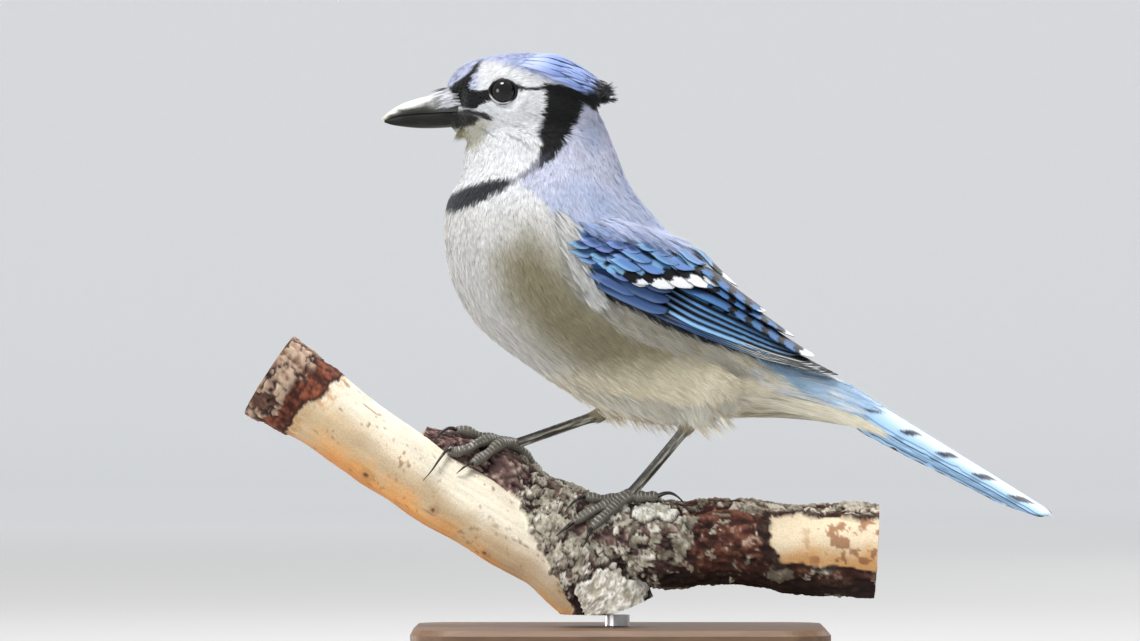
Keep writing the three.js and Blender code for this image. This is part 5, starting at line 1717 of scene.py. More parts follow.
def pattern_tail(pair):
    """Tail feather: blots on its outer web and a white tip, by its place from the middle."""

    def paint(d, c, beside, rng):
        # Pale blue-white, with a paler streak beside the shaft: partly the feather's own blue, partly
        # painted highlight
        tint = mix(*TAIL_BLUE_AND_HIGHLIGHT, smooth(c, 0.15, 0.95))
        tint = mix(tint, TAIL_PALE_AND_HIGHLIGHT, band(beside, 0.5, 3.6, 0.8) * 0.7)
        tint = mix(tint, TAIL_BASE, smooth(d, 50, 84) * 0.35)
        for k in range(5):
            at = 13.5 + 15.6 * k
            slant = d - 1.0 * (beside - 7.5) + jag(beside, rng, 0.2)
            size = 2.4 - 0.2 * k
            blot = band(slant, at - size, at + size, 0.5) * band(beside, 4.6, 10.6 - 0.4 * k, 0.7)
            tint = mix(tint, TAIL_BLOT, blot * (0.94, 0.4, 0.15, 0.1, 0.1, 0.1)[pair])
        tint = mix(tint, TAIL_SHAFT, band(beside, -0.22, 0.22, 0.12) * (0.9 if pair < 2 else 0.5))
        tint = mix(tint, TAIL_INNER, smooth(-beside, 0.4, 1.0))
        if pair:
            tint = mix(tint, TAIL_SIDE, smooth(c, 0.2, 0.7) * 0.4)
            tint = mix(tint, INK, smooth(c, 0.9, 0.97) * (pair in (1, 4)) * 0.9)
        return mix(tint, WHITE, band(d, -9, 1.0 + 0.8 * pair, 0.6) * 0.9)

    return paint


def tail():
    """Twelve graduated vanes, the middle pair on top."""
    batch = Batch()
    rng = np.random.default_rng(41)
    spots = tiles(2 * TAIL["pairs"])
    for pair in reversed(range(TAIL["pairs"])):
        length = TAIL["length"] - 1.9 * pair * (0.7 + 0.13 * pair)
        half = 5.6 if pair else 7.1
        start = 2.6 + 0.85 * pair if pair else -1.2
        for side in (1, -1):
            level = -TAIL["stack"] * pair - (0.12 if side < 0 else 0)
            reach = length - TAIL["start"]

            def place(share, across, height):
                spread = 0.6 + 0.4 * smooth(share, -0.1, 0.3)
                beside = (across + half) * spread + start
                return tail_point(TAIL["start"] + share * reach, side, beside, height + level)

            def width(s):
                return half * np.sqrt(np.clip(1 - ((s - 0.93) / 0.07).clip(0, 1) ** 2.2, 0, 1))

            spot = spots[2 * pair + (side < 0)]
            vane(batch, place, width, pattern_tail(pair), spot, rng, 120, 17, shaft=-0.62, camber=0.1)
    piece = batch.piece("tail_vanes")
    dress(piece, "plumage_blue", vane_material("tail_vanes", 0.5, 0.2), "tail")


# Crest


def pattern_crest(level):
    """Crest feather, black at the tip of the lowest tier."""

    def paint(d, c, beside, rng):
        tint = mix(CROWN, CREST_DEEP, 1 - smooth(d, 3 + 3 * (level == 0), 15))
        tint = mix(tint, CREST_EDGE, smooth(abs(c), 0.5, 0.9) * 0.12)
        shaft = (1 - smooth(abs(beside), 0.08, 0.34)) * (1 - smooth(d, 3, 9))
        tint = mix(tint, INK, shaft * (0.75, 0.45, 0.2, 0.1)[level])
        return mix(tint, INK, (1 - smooth(d, 1.0, (6.5, 2.5, 1.5, 1.2)[level])) * (1, 0.5, 0.2, 0.1)[level])

    return paint


def crest():
    """Four tiers of small vanes over the crown, the lowest one first."""
    batch = Batch()
    rng = np.random.default_rng(51)
    spots = iter(tiles(sum(count for _, _, count in CREST_TIERS)))
    for level, (root, tip, count) in enumerate(CREST_TIERS):
        for k in range(count):
            angle = (k / (count - 1) * 2 - 1) * 1.35 + rng.normal(0, 0.03)
            start = root - 0.06 * abs(angle) + rng.normal(0, 0.012)
            stop = tip - 0.1 * abs(angle) + rng.normal(0, 0.016)
            lift = 0.15 + 0.2 * level + rng.uniform(-0.1, 0.2)

            def place(share, across, height):
                at = start + (stop - start) * share
                rise = -0.7 + (lift + 0.7) * smooth(share, 0, 0.5) + height
                return crest_point(at, angle * (1 - 0.12 * share) + across / 13, rise)

            def width(s):
                return 1.45 * np.sin(np.pi * np.clip(0.12 + 0.88 * s, 0, 1)) ** 0.75

            vane(batch, place, width, pattern_crest(level), next(spots), rng, 30, 9, fray=0.16)
    piece = batch.piece("crest_vanes")
    dress(piece, "plumage_violet", vane_material("crest_vanes", 0.55, 0.2), "crest")


# Bill and eyes


def mandible_grid(stations, arch, rows, sides):
    """Rings of a mandible, arched on one side and flat where it meets the other one."""
    top = Curve([(t[0], 0, t[1]) for t, _, _ in stations])
    base = Curve([(b[0], 0, b[1]) for _, b, _ in stations])
    width = Curve([(10 * i, half, 0) for i, (_, _, half) in enumerate(stations)])
    t = np.linspace(0, 1, rows) ** 1.3
    angle = np.linspace(0, 2 * np.pi, sides, endpoint=False)[None, :]
    lift = np.maximum(0, arch * np.cos(angle)) ** 0.8
    share = lift if arch > 0 else 1 - lift
    at, low = top(t)[:, None], base(t)[:, None]
    points = low + (at - low) * share[..., None]
    points[..., 1] = width(t)[:, None, 1] * np.sin(angle)
    return points, share * np.ones((rows, 1))


def bill():
    """Both mandibles, with horn streaks and a pale ridge that is a painted highlight."""
    grain = {"Scale": 1400, "Detail": 4}
    made = grained_material("bill_horn", 0.36, 0.35, grain, (0.3, 0.7, 0.75, 1.2), (0.2, 0.0002))
    for name, stations, arch in (("upper", BILL_UPPER, 1), ("lower", BILL_LOWER, -1)):
        points, share = mandible_grid(stations, arch, 64, 48)
        x = points[..., 0]
        streaks = value_noise(points * (0.12, 1, 1), 1.1, 151, 3)
        if arch > 0:
            # Dark below and pale on the ridge: the pale ridge is a painted highlight on the dark horn
            tint = mix(*HORN_AND_RIDGE_HIGHLIGHT, smooth(share + 0.14 * streaks, 0.2, 0.66))
            tint = mix(tint, HORN_BASE, smooth(x, -72, -63) * 0.65)
            tint = mix(tint, HORN_TIP, smooth(-x, 82, 85.5))
        else:
            tint = mix(*HORN_DARK, smooth(streaks, -0.4, 0.8))
        batch = Batch()
        closed_tube(batch, points, tint=tint)
        piece = batch.piece(f"bill_{name}_horn")
        dress(piece, "bill", made, f"bill_{name}")


def eyes():
    """Wet dark balls, each in an oval lid with a pale lower crescent."""
    texture = {"Scale": 900, "Detail": 3}
    ball = ramped_material("eye_wet", 0.03, 0.42, texture, *EYE_WET)
    lid, _, node, link = material("lid_skin", 0.55, 0.4)
    link(tinted(node), "Base Color")
    for name, side in (("left", -1), ("right", 1)):
        batch = Batch()
        turn = np.linspace(0, 2 * np.pi, 64, endpoint=False)
        polar = np.linspace(0.03, np.pi - 0.03, 40)[:, None]
        bulge = EYE_RADIUS + 0.35 * smooth(np.cos(polar), 0.6, 1)
        x = EYE[0] + bulge * np.sin(polar) * np.cos(turn)
        y = side * (EYE[1] + bulge * np.cos(polar) * np.ones_like(turn))
        z = EYE[2] + bulge * np.sin(polar) * np.sin(turn)
        ring = np.stack([x, y, z], -1)
        closed_tube(batch, ring[:, ::side])
        dress(batch.piece(f"eye_{name}_ball"), "eye", ball, f"eye_{name}")
        batch = Batch()
        path_turn = np.linspace(0, 2 * np.pi, 73)[:-1]
        section = np.linspace(0, 2 * np.pi, 12, endpoint=False)
        wide = 1 + 0.03 * np.cos(2 * path_turn)
        inner = (4.6 * wide)[:, None] + (0.62 + 0.06 * np.sin(path_turn * 9))[:, None] * np.cos(section)
        deep = 13.2 + 0.62 * np.sin(section)[None, :] + 0.25 * (inner - 4.6)
        x = EYE[0] + inner * np.cos(path_turn)[:, None]
        z = EYE[2] + inner * np.sin(path_turn)[:, None] * 0.88
        ring = np.stack([x, side * deep * np.ones_like(x), z], -1)
        low = smooth(-np.sin(path_turn + 0.35), 0.35, 0.8)[:, None] * smooth(np.cos(section), -0.5, 0.2)
        tint = mix(*LID, low)
        n, m = len(path_turn), len(section)
        i, j = np.divmod(np.arange(n * m), m)
        following, right = (i + 1) % n, (j + 1) % m
        quads = np.stack([i * m + j, following * m + j, following * m + right, i * m + right], -1)
        batch.add(ring.reshape(-1, 3), quads[:, ::side], tint=tint)
        dress(batch.piece(f"lid_{name}"), "eye", lid)


# Branch: ripples, bark and lichen on the two limbs


def ripple(along, turn, seed, size):
    """Slow swells of a limb's radius."""
    wide = 0.5 * np.sin(0.21 * along + seed + 2 * np.sin(turn))
    middle = 0.32 * np.sin(3 * turn + 0.09 * along + 2 * seed)
    small = 0.18 * np.sin(5 * turn - 0.34 * along + 3 * seed)
    return size * (wide + middle + small)


class Limb:
    """A limb of the branch along a line, with a radius at each place and turn."""

    def __init__(self, stations, seed, size):
        self.seed, self.size = seed, size
        self.line = Curve([s[:3] for s in stations])
        self.radii = Curve([(10 * i, s[3], 0) for i, s in enumerate(stations)])
        self.samples = self.line(np.linspace(0, 1, 161))
        self.length = np.linalg.norm(np.diff(self.samples, axis=0), axis=1).sum()

    def frame(self, t):
        """Directions along the limb, across it and up from it."""
        ahead = unit(self.line(np.clip(t + 0.004, 0, 1)) - self.line(np.clip(t - 0.004, 0, 1)))
        across = unit(np.array([0, 1, 0]) - ahead * ahead[..., 1:2])
        return ahead, across, np.cross(ahead, across)

    def radius(self, t, turn):
        """Radius at a share of the limb and a turn round it."""
        return self.radii(t)[..., 1] + ripple(t * self.length, turn, self.seed, self.size)

    def surface(self, t, turn, grow=0.0):
        """Points at a height over the limb."""
        t, turn = np.broadcast_arrays(np.asarray(t, float), np.asarray(turn, float))
        _, across, up = self.frame(t)
        reach = (self.radius(t, turn) + grow)[..., None]
        beside = across * reach * np.cos(turn)[..., None]
        return self.line(t) + beside + up * reach * np.sin(turn)[..., None]

    def distance(self, p):
        """How far a point lies outside the limb."""
        best = np.linspace(0, 1, 161)[np.linalg.norm(self.samples - p, axis=1).argmin()]
        for step in (0.003, 0.0012, 0.0004):
            near = np.clip(best + step * np.arange(-3, 4), 0, 1)
            gaps = np.linalg.norm(self.line(near) - p, axis=1)
            best = near[gaps.argmin()]
        _, across, up = self.frame(np.array(best))
        away = p - self.line(np.array(best))
        turn = math.atan2(away @ up, away @ across)
        return np.linalg.norm(away) - float(self.radius(np.array(best), np.array(turn)))


bare = Limb(LIMB_BARE, 0.7, 0.5)
bark = Limb(LIMB_BARK, 2.1, 0.9)


def cells(points, size, seed):
    """Distances to the nearest and next of scattered centres, a number of the nearest and the way to it."""
    at = points / size + 500.0
    base = np.floor(at).astype(int)
    table = np.random.default_rng(seed).random((32, 32, 32, 4))
    first, second = np.full(at.shape[:-1], 9.0), np.full(at.shape[:-1], 9.0)
    number = np.zeros(at.shape[:-1])
    offset = np.zeros(at.shape)
    for corner in np.ndindex(3, 3, 3):
        cell = base + np.array(corner) - 1
        index = cell % 32
        found = table[index[..., 0], index[..., 1], index[..., 2]]
        way = cell + found[..., :3] - at
        gap = np.linalg.norm(way, axis=-1)
        nearer = gap < first
        second = np.where(nearer, first, np.minimum(second, gap))
        number = np.where(nearer, found[..., 3], number)
        offset = np.where(nearer[..., None], way, offset)
        first = np.minimum(first, gap)
    return first, second, number, offset


def plates(place, size, seed, stretch=(1, 1, 1)):
    """Ragged plates: the number of each, how far inside its edge a point lies, and its slope."""
    bend = [value_noise(place, size * (0.8 + 0.1 * k), seed + 3 + k, 4) for k in range(3)]
    first, second, number, offset = cells(place * stretch + np.stack(bend, -1) * size * 0.5, size, seed)
    turn = number * 97
    slope = (offset[..., 0] * np.cos(turn) + offset[..., 2] * np.sin(turn)) * 0.9
    return number, second - first, slope


def crust(height, tint, place, cover, size, seed, share, tones, raise_by):
    """Adds flaky scales where cover is high."""
    number, inside, slope = plates(place, size, seed)
    fine = value_noise(place, 1.2, seed + 7, 4)
    present = number < share * cover
    on = present * smooth(inside, 0.02, 0.09)
    edge = present * (1 - smooth(inside, 0.05, 0.16))
    edge = edge * smooth(value_noise(place, 5, seed + 9, 2), -0.5, 0.3)
    height = height + raise_by * on * (0.8 + 0.45 * fine + 0.5 * number + slope)
    shade = smooth(0.7 * fine + 1.1 * number / max(share, 0.1) + 0.4 * slope, 0.0, 1.2)
    shade = mix(*tones, shade)
    tint = mix(tint, shade, on)
    return height, mix(tint, np.array(tones[0]) * 0.35, edge * 0.75 * (1 - on))


def bark_look(place, stretched):
    """Height and colour of the bark and its lichen by place on the branch."""
    px = to_px(place)
    x, z = px[..., 0], px[..., 1]
    front = smooth(-place[..., 1], -3, 4)
    fine = value_noise(place, 1.5, 71, 4)
    fibre = value_noise(stretched, 1.7, 73, 4)
    ridge = 1 - 2 * abs(value_noise(stretched, 4.4, 75, 4))
    _, inside, slope = plates(stretched, 6.5, 61)
    patchy = smooth(value_noise(place, 8, 65, 2), -0.35, 0.35)
    furrow = (1 - smooth(inside, 0.02, 0.15)) * patchy
    slow = value_noise(place, 12, 63, 2)
    red = smooth(x + 14 * slow, 640, 700)
    deep = mix(*BARK_DEEP, red)
    pale = mix(*BARK_PALE, red)
    tint = mix(deep, pale, smooth(0.5 * ridge + 0.6 * fibre + 0.5 * fine + 0.3 * slope, -0.3, 1.0))
    tint = mix(tint, BARK_FLAKE, smooth(fine + 0.4 * fibre, 0.55, 0.95) * 0.7)
    height = 0.45 * ridge + 0.35 * fibre + 0.25 * fine + 0.6 * slope - 0.8 * furrow
    tint = mix(tint, BARK_FURROW, furrow * 0.85)
    tint = mix(tint, BARK_PIT, smooth(-ridge - 0.5 * fibre, 0.3, 0.8) * 0.6)
    # Painted shade on the underside of the barked limb, below its lower line
    low = smooth(z - np.interp(x, [560, 700, 885], [560, 556, 566]), 4, 22) * smooth(x, 600, 680)
    tint = mix(tint, BARK_UNDERSIDE_SHADE, low * 0.75)
    cover = smooth(x + 10 * slow, 498, 540) * (1 - 0.75 * smooth(x + 12 * slow, 655, 700))
    cover = cover * (1 - 0.7 * low) * (1 - 0.75 * smooth(value_noise(place, 9, 67, 2), 0.22, 0.42))
    height, tint = crust(height, tint, place, cover, 6.4, 81, 0.85, LICHEN_GREY, 0.55)
    height, tint = crust(height, tint, place, cover, 3.1, 85, 0.4, LICHEN_CREAM, 0.4)
    upper = smooth(x, 690, 720) * (1 - smooth(z - np.interp(x, [640, 760, 885], [512, 512, 520]), -2, 6))
    height, tint = crust(height, tint, place, upper, 5.6, 91, 0.8, LICHEN_TAN, 0.55)
    for spot, size in (((607, 592), (33, 30)), ((655, 512), (26, 10))):
        gap = np.hypot((x - spot[0]) / size[0], (z - spot[1]) / size[1])
        gap = gap + 0.3 * value_noise(place, 5, 83, 4)
        leaf = (1 - smooth(gap, 0.86, 0.92)) * front
        ring = band(gap, 0.9, 1.08, 0.04) * front
        tone, inside, slope = plates(place, 2.6, 87)
        crack = (1 - smooth(inside, 0.02, 0.12)) * smooth(fine, -0.3, 0.5)
        raised = 1.0 + 0.35 * fine + 0.35 * slope - 0.3 * crack
        height = height * (1 - 0.6 * leaf) + leaf * raised - 0.4 * ring
        shade = mix(*LICHEN_LEAF, smooth(fine + 0.8 * tone, -0.3, 0.7))
        tint = mix(tint, mix(shade, LICHEN_CRACK, crack * 0.6), leaf)
        tint = mix(tint, LICHEN_RIM, ring * 0.8)
    gap = np.maximum(abs(x - 830) / 70, abs(z - 541 - 0.05 * (x - 830)) / 27)
    gap = gap + 0.16 * value_noise(place, 6, 92, 4)
    patch = (1 - smooth(gap, 0.88, 0.93)) * front
    ring = band(gap, 0.92, 1.05, 0.03) * front
    height = height * (1 - 0.9 * patch) - 0.7 * patch - 0.2 * ring
    wood = mix(*PATCH_WOOD, smooth(z + 9 * value_noise(place, 5, 94, 2), 536, 566))
    mark = smooth(value_noise(place, 3.4, 97, 4), 0.3, 0.5) * smooth(x, 790, 830)
    tint = mix(tint, mix(wood, PATCH_MARK, mark * 0.7), patch)
    return height, mix(tint, PATCH_RIM, ring * 0.75)


def bare_relief(t, turn, place):
    """Height and colour of the weathered wood, with old bark at its far end and at the fork."""
    grain_place = np.stack([t * bare.length * 0.12, np.cos(turn) * 13, np.sin(turn) * 13], -1)
    fibre = value_noise(grain_place, 1.5, 3, 4)
    crack = 1 - smooth(abs(value_noise(grain_place, 3.4, 8, 2)), 0.0, 0.045)
    broad = value_noise(place, 16, 5, 3)
    crack = crack * smooth(broad, 0.05, 0.5)
    px = to_px(place)
    x, z = px[..., 0], px[..., 1]
    level = z - np.interp(x, [250, 330, 400, 470, 520, 560], [395, 436, 488, 540, 582, 612])
    height = 0.08 * fibre - 0.25 * crack + 0.3 * broad
    # Pale wood above and painted shade towards the lower side
    tint = mix(*WOOD_PALE_AND_SHADE, smooth(level + 12 * broad, -44, -12))
    stain = smooth(level + 9 * value_noise(place, 6, 21, 3), -14, 14) * smooth(x, 300, 340)
    tint = mix(tint, WOOD_STAIN, stain * 0.85)
    tint = mix(tint, WOOD_RUST, smooth(level, 8, 26) * 0.6)
    tint = tint * (1 + 0.05 * fibre[..., None])
    tint = mix(tint, WOOD_CRACK, crack * 0.6)
    speck = smooth(value_noise(place, 1.6, 24, 2), 0.55, 0.75)
    speck = speck * smooth(value_noise(place, 9, 25, 2), 0, 0.5)
    tint = mix(tint, WOOD_SPECK, speck * 0.6)
    for knot_t, knot_turn, size in ((0.29, -2.3, 2.2), (0.44, -2.6, 1.5), (0.57, -2.2, 1.7)):
        spot = bare.surface(np.array(knot_t), np.array(knot_turn))
        gap = np.linalg.norm(place - spot, axis=-1)
        height = height + 0.7 * np.exp(-((gap / size) ** 2)) - 1.0 * np.exp(-((gap / (size * 0.45)) ** 2))
        tint = mix(tint, KNOT, np.exp(-((gap / (size * 0.55)) ** 4)) * 0.8)
        tint = mix(tint, KNOT_RIM, np.exp(-(((gap - size) / 0.7) ** 2)) * 0.4)
    jagged = 7 * value_noise(place, 6, 33, 4)
    rim = (x - 342) * 0.73 + (z - 372) * 0.68 + jagged
    cover = 1 - smooth(rim, -1.0, 1.5)
    outer = 1 - smooth(rim + 4 * value_noise(place, 4, 35, 3), -25, -22)
    fine = value_noise(place, 1.6, 41, 3)
    number, inside, slope = plates(place, 7.5, 43, (0.6, 1, 0.8))
    furrow = (1 - smooth(inside, 0.02, 0.12)) * smooth(value_noise(place, 6, 45, 2), -0.5, 0.2)
    ridge = 1 - 2 * abs(value_noise(grain_place * (2.5, 1, 1), 3.2, 47, 4))
    flake = 0.5 * ridge + 0.5 * fine + 0.8 * slope
    height = height + cover * (0.55 + 0.3 * fine + 0.2 * ridge) + outer * (0.7 + 0.5 * flake - 0.7 * furrow)
    red = mix(*INNER_BARK, smooth(0.7 * fine + 0.5 * ridge, -0.4, 0.9))
    tint = mix(tint, red, cover)
    husk = mix(*HUSK, smooth(flake + 0.4 * number, -0.3, 1.1))
    tint = mix(tint, mix(husk, HUSK_FURROW, furrow * 0.85), outer)
    tint = mix(tint, HUSK_RIM, band(rim, -3.5, 1.2, 0.8) * 0.55)
    halo = band(rim, 1.2, 12, 2) * smooth(fine, -0.3, 0.5)
    tint = mix(tint, HALO, halo * 0.5)
    under = smooth(level + 5 * value_noise(place, 5, 52, 3), 22, 25) * smooth(x, 440, 462)
    height = height + under * (0.6 + 0.3 * fine)
    tint = mix(tint, mix(*ROT, smooth(fine, 0, 0.9)), under * 0.95)
    fork = smooth(x - 541 - (z - 552) * 0.55 + 6 * value_noise(place, 5, 56, 3), -1.2, 1.2)
    bark_height, bark_tint = bark_look(place, grain_place * (3, 1, 1))
    height = height * (1 - fork) + (bark_height + 0.9) * fork
    return height, mix(tint, bark_tint, fork)


def bark_relief(t, turn, place):
    """Height and colour of the rough bark."""
    stretched = np.stack([t * bark.length * 0.5, np.cos(turn) * 14, np.sin(turn) * 14], -1)
    return bark_look(place, stretched)


def end_disc(batch, ring, ahead, seed, dome=0.35):
    """Closes a cut end with rings of wood."""
    centre = ring.mean(0)
    inner = [centre + (ring - centre) * share for share in np.linspace(1, 0.02, CUT_RINGS)[1:]]
    grid = np.array([ring, *inner])
    gap = np.linalg.norm(grid - centre, axis=-1)
    uneven = value_noise(grid, 3.2, seed, 3)
    rings = np.sin(gap * 5.2 + 1.6 * value_noise(grid, 7, seed + 5, 2))
    turn = np.arctan2(grid[..., 2] - centre[2], grid[..., 1] - centre[1])
    check = 1 - smooth(abs(turn - 0.6 + 0.1 * uneven), 0, 0.03)
    rise = dome * uneven * smooth(np.linspace(0, 1, CUT_RINGS), 0, 0.15)[:, None]
    grid = grid + ahead * rise[..., None]
    early, late, rim = CUT_TONES
    tint = mix(early, late, 0.5 + 0.5 * rings)
    tint = mix(tint, CUT_CHECK, check * 0.5 * smooth(gap, 0, 2))
    tint = mix(tint, rim, smooth(gap / gap.max(), 0.9, 0.97))
    points = np.vstack([grid.reshape(-1, 3), centre])
    columns = ring.shape[0]
    around = np.arange(columns)
    last = (CUT_RINGS - 1) * columns
    final = np.stack([np.full(columns, len(points) - 1), last + around, last + (around + 1) % columns], -1)
    facing = np.cross(grid[1, 0] - grid[0, 0], grid[0, 1] - grid[0, 0]) @ ahead > 0
    way = 1 if facing else -1
    quads = grid_quads(CUT_RINGS, columns, wrap=True)
    tint = np.vstack([tint.reshape(-1, 3), tint[-1].mean(0)])
    batch.add(points, quads[:, ::way], final[:, ::way], tint=tint)


def perch():
    """Both limbs of the branch with their relief and cut ends."""
    grain = {"Scale": 1900, "Detail": 6, "Roughness": 0.65}
    made = grained_material("branch_wood", 0.88, 0.25, grain, (0.3, 0.7, 0.8, 1.15), (0.5, 0.0003))
    for name, limb, relief, start, stop, rows, sides in (
        ("bare", bare, bare_relief, 0.012, 0.88, 300, 120),
        ("barked", bark, bark_relief, 0.004, 0.985, 350, 144),
    ):
        batch = Batch()
        t = np.linspace(start, stop, rows)[:, None] * np.ones(sides)
        turn = np.ones((rows, 1)) * np.linspace(0, 2 * np.pi, sides, endpoint=False)
        place = limb.surface(t, turn)
        height, tint = relief(t, turn, place)
        grid = limb.surface(t, turn, height)
        ahead, _, _ = limb.frame(np.array([start, stop]))
        if name == "bare":
            low = grid[..., 2] < TRUNK_CUT_Z
            grid[..., 2] = np.where(low, TRUNK_CUT_Z, grid[..., 2])
        batch.add(grid.reshape(-1, 3), grid_quads(rows, sides, wrap=True), tint=tint)
        if name == "bare":
            end_disc(batch, grid[0], -ahead[0], 101)
            end_disc(batch, grid[-1], np.array([0, 0, -1]), 103, 0)
        else:
            end_disc(batch, grid[0], -ahead[0], 107)
            end_disc(batch, grid[-1], ahead[1], 109)
        dress(batch.piece(f"branch_{name}"), "branch", made, "perch")


# Legs, feet and claws


def on_perch(place, height):
    """Moves a point to a height over the branch."""
    q = np.array(place, float)

    def gap(p):
        return min(bare.distance(p), bark.distance(p))

    for _ in range(12):
        here = gap(q)
        slope = np.array([gap(q + step) - gap(q - step) for step in np.eye(3) * 0.4])
        q = q + unit(slope) * (height - here) * 0.8
    return q


def scutes(along, turn, pitch, front, rings):
    """Height and colour of the ring-like scales on the upper side of a toe or shank."""
    wobble = along / pitch + 0.12 * np.sin(turn * 2)
    saw = wobble - np.floor(wobble)
    ring = smooth(saw, 0.0, 0.22) * (1 - 0.35 * saw)
    face = smooth(np.cos(turn - front), -0.2, 0.35)
    small = 0.5 + 0.5 * np.sin(along * 6.1 + np.sin(turn * 9) * 2) * np.sin(turn * 9)
    height = 0.24 * rings * (ring - 0.7) * face + 0.1 * small * (1 - face)
    tint = mix(*SCALE, (1 - smooth(saw, 0.05, 0.3)) * face * rings)
    tint = mix(tint, SCALE_SIDE, (1 - face) * small)
    edge = np.exp(-(((np.cos(turn - front) - 0.1) / 0.12) ** 2))
    tint = mix(tint, SCALE_EDGE, edge * 0.55)
    return height, tint


def leg_tube(batch, path, radii, sides, pitch, front_hint, flatten=1.0, rings=1.0, lines=0.0):
    """A scaled limb along a path, with its scutes facing front_hint."""
    path = np.asarray(path, float)
    steps = np.concatenate([[0], np.cumsum(np.linalg.norm(np.diff(path, axis=0), axis=1))])
    ahead = unit(np.gradient(path, axis=0))
    hint = np.asarray(front_hint, float)
    up = unit(hint - ahead * np.sum(ahead * hint, -1, keepdims=True))
    across = np.cross(ahead, up)
    turn = np.linspace(0, 2 * np.pi, sides, endpoint=False)
    height, tint = scutes(steps[:, None], turn[None, :], pitch, 0.0, rings)
    over = np.ones_like(height)
    run = np.stack([steps[:, None] * 0.09 * over, np.cos(turn) * 2.2 * over, np.sin(turn) * 2.2 * over], -1)
    stripe = value_noise(run, 1.0, 133, 3)
    tint = mix(tint, SHANK_DARK, smooth(-stripe, -0.25, 0.25) * lines)
    tint = mix(tint, SHANK_PALE, smooth(stripe, 0.3, 0.6) * lines)
    reach = np.asarray(radii)[:, None] + height + 0.12 * lines * stripe
    ring = up[:, None] * (reach * np.cos(turn))[..., None]
    ring = ring + across[:, None] * (reach * flatten * np.sin(turn))[..., None]
    grid = path[:, None] + ring
    tint = tint * (0.93 + 0.1 * value_noise(grid, 2.5, 131, 2)[..., None])
    closed_tube(batch, grid[:, ::-1], tint=tint[:, ::-1])


def legs():
    """Shanks, toes laid on the branch, and claws."""
    scales = (0.0, 0.8, 0.85, 1.1)
    made = grained_material("leg_scale", 0.5, 0.4, {"Scale": 2600}, scales, (0.3, 0.0001), "Voronoi")
    horn = grained_material("claw_horn", 0.25, 0.5, {"Scale": 1500, "Detail": 3}, (0.3, 0.7, 0.8, 1.2))
    for side, leg in LEGS.items():
        heel, foot = np.array(leg["heel"], float), on_perch(leg["foot"], FOOT_HEIGHT)
        ankle = heel + (foot - heel) * 0.985
        batch = Batch()
        s = np.linspace(0, 1, 120)
        path = heel + (ankle - heel) * s[:, None]
        path = path + np.array([0.5, 0, 0.3]) * np.sin(np.pi * s)[:, None] * 0.8
        length = np.linalg.norm(ankle - heel)
        radii = 1.8 + 0.65 * np.exp(-((s * length / 3.2) ** 2))
        radii = radii + 0.15 * np.exp(-(((1 - s) * length / 2.4) ** 2))
        leg_tube(batch, path, radii, 40, 3.1, (-1, 0, 0.4), 0.9, 0.35, 0.8)
        dress(batch.piece(f"shank_{side}"), "leg", made, f"tarsus_{side}")
        batch = Batch()
        turn = np.linspace(0, 2 * np.pi, 32, endpoint=False)
        polar = np.linspace(0.05, np.pi - 0.05, 20)[:, None]
        x, y = np.sin(polar) * np.cos(turn), np.sin(polar) * np.sin(turn)
        globe = np.stack([x, y, np.cos(polar) * np.ones_like(turn)], -1)
        bumps = 1 + 0.06 * value_noise(globe * 3, 1.0, 140, 2)
        globe = foot + globe * bumps[..., None] * np.array([2.7, 2.3, 2.5])
        tone = value_noise(globe, 1.1, 141, 2).clip(0, 1)
        closed_tube(batch, globe, tint=mix(*TOE_ROOT, tone))
        claws = []
        for name, end, claw, lift, arch in leg["toes"]:
            knots = [foot]
            for k in np.linspace(0, 1, 7)[1:]:
                radius = 2.0 - 0.55 * k
                height = radius + 0.55 + 0.9 * (1 - smooth(k, 0, 0.3)) + lift * k
                knots.append(on_perch(foot + (np.array(end) - foot) * k, float(height)))
            fine = np.linspace(0, 1, 90)
            path = Curve(knots)(fine)
            bulge = 0.13 * np.cos(5 * np.pi * fine)
            radii = (2.25 - 0.65 * fine) * (1 + bulge)
            radii[-6:] *= np.array([0.99, 0.96, 0.9, 0.82, 0.7, 0.5])
            leg_tube(batch, path, radii, 28, 1.5, (0, 0, 1))
            ahead = unit(path[-1] - path[-8])
            base = path[-1] - ahead * 0.6
            spots = []
            for k in np.linspace(0, 1, 6):
                place = base + (np.array(claw) - base) * k
                height = (1 - 0.78 * k) + 0.35 + arch * math.sin(math.pi * (0.12 + 0.88 * k))
                spots.append(on_perch(place, height) if k else base)
            claws.append((name, Curve(spots)))
        dress(batch.piece(f"toes_{side}"), "leg", made, f"foot_{side}")
        for name, line in claws:
            batch = Batch()
            fine = np.linspace(0, 1, 48)
            radii = (1.08 * (1 - fine) ** 0.75 + 0.07)[:, None] * np.ones(24)
            grid = tube_grid(line(fine), radii, 24, flatten=0.72)
            tint = mix(*CLAW, smooth(fine, 0.0, 0.9))
            closed_tube(batch, grid, tint=np.repeat(tint[:, None], 24, 1))
            dress(batch.piece(f"claw_{side}_{name}_horn"), "claw", horn, f"claw_{side}_{name}")


def stand():
    """Materials of the display stand, whose nodes stay as they are."""
    brushed = {"Scale": 900, "Detail": 2}
    rod = ramped_material("stand_steel", 0.35, 0.5, brushed, *STAND_STEEL)
    rod.node_tree.nodes["Principled BSDF"].inputs["Metallic"].default_value = 1
    rings = {"Scale": 420, "Detail": 4, "Distortion": 0.6}
    wood = ramped_material("stand_wood", 0.5, 0.4, rings, *STAND_WOOD, (0.12, 1, 1))
    for name, made in (("stand_rod", rod), ("stand_base", wood)):
        piece = bpy.data.objects[name]
        piece.data.materials.clear()
        piece.data.materials.append(made)


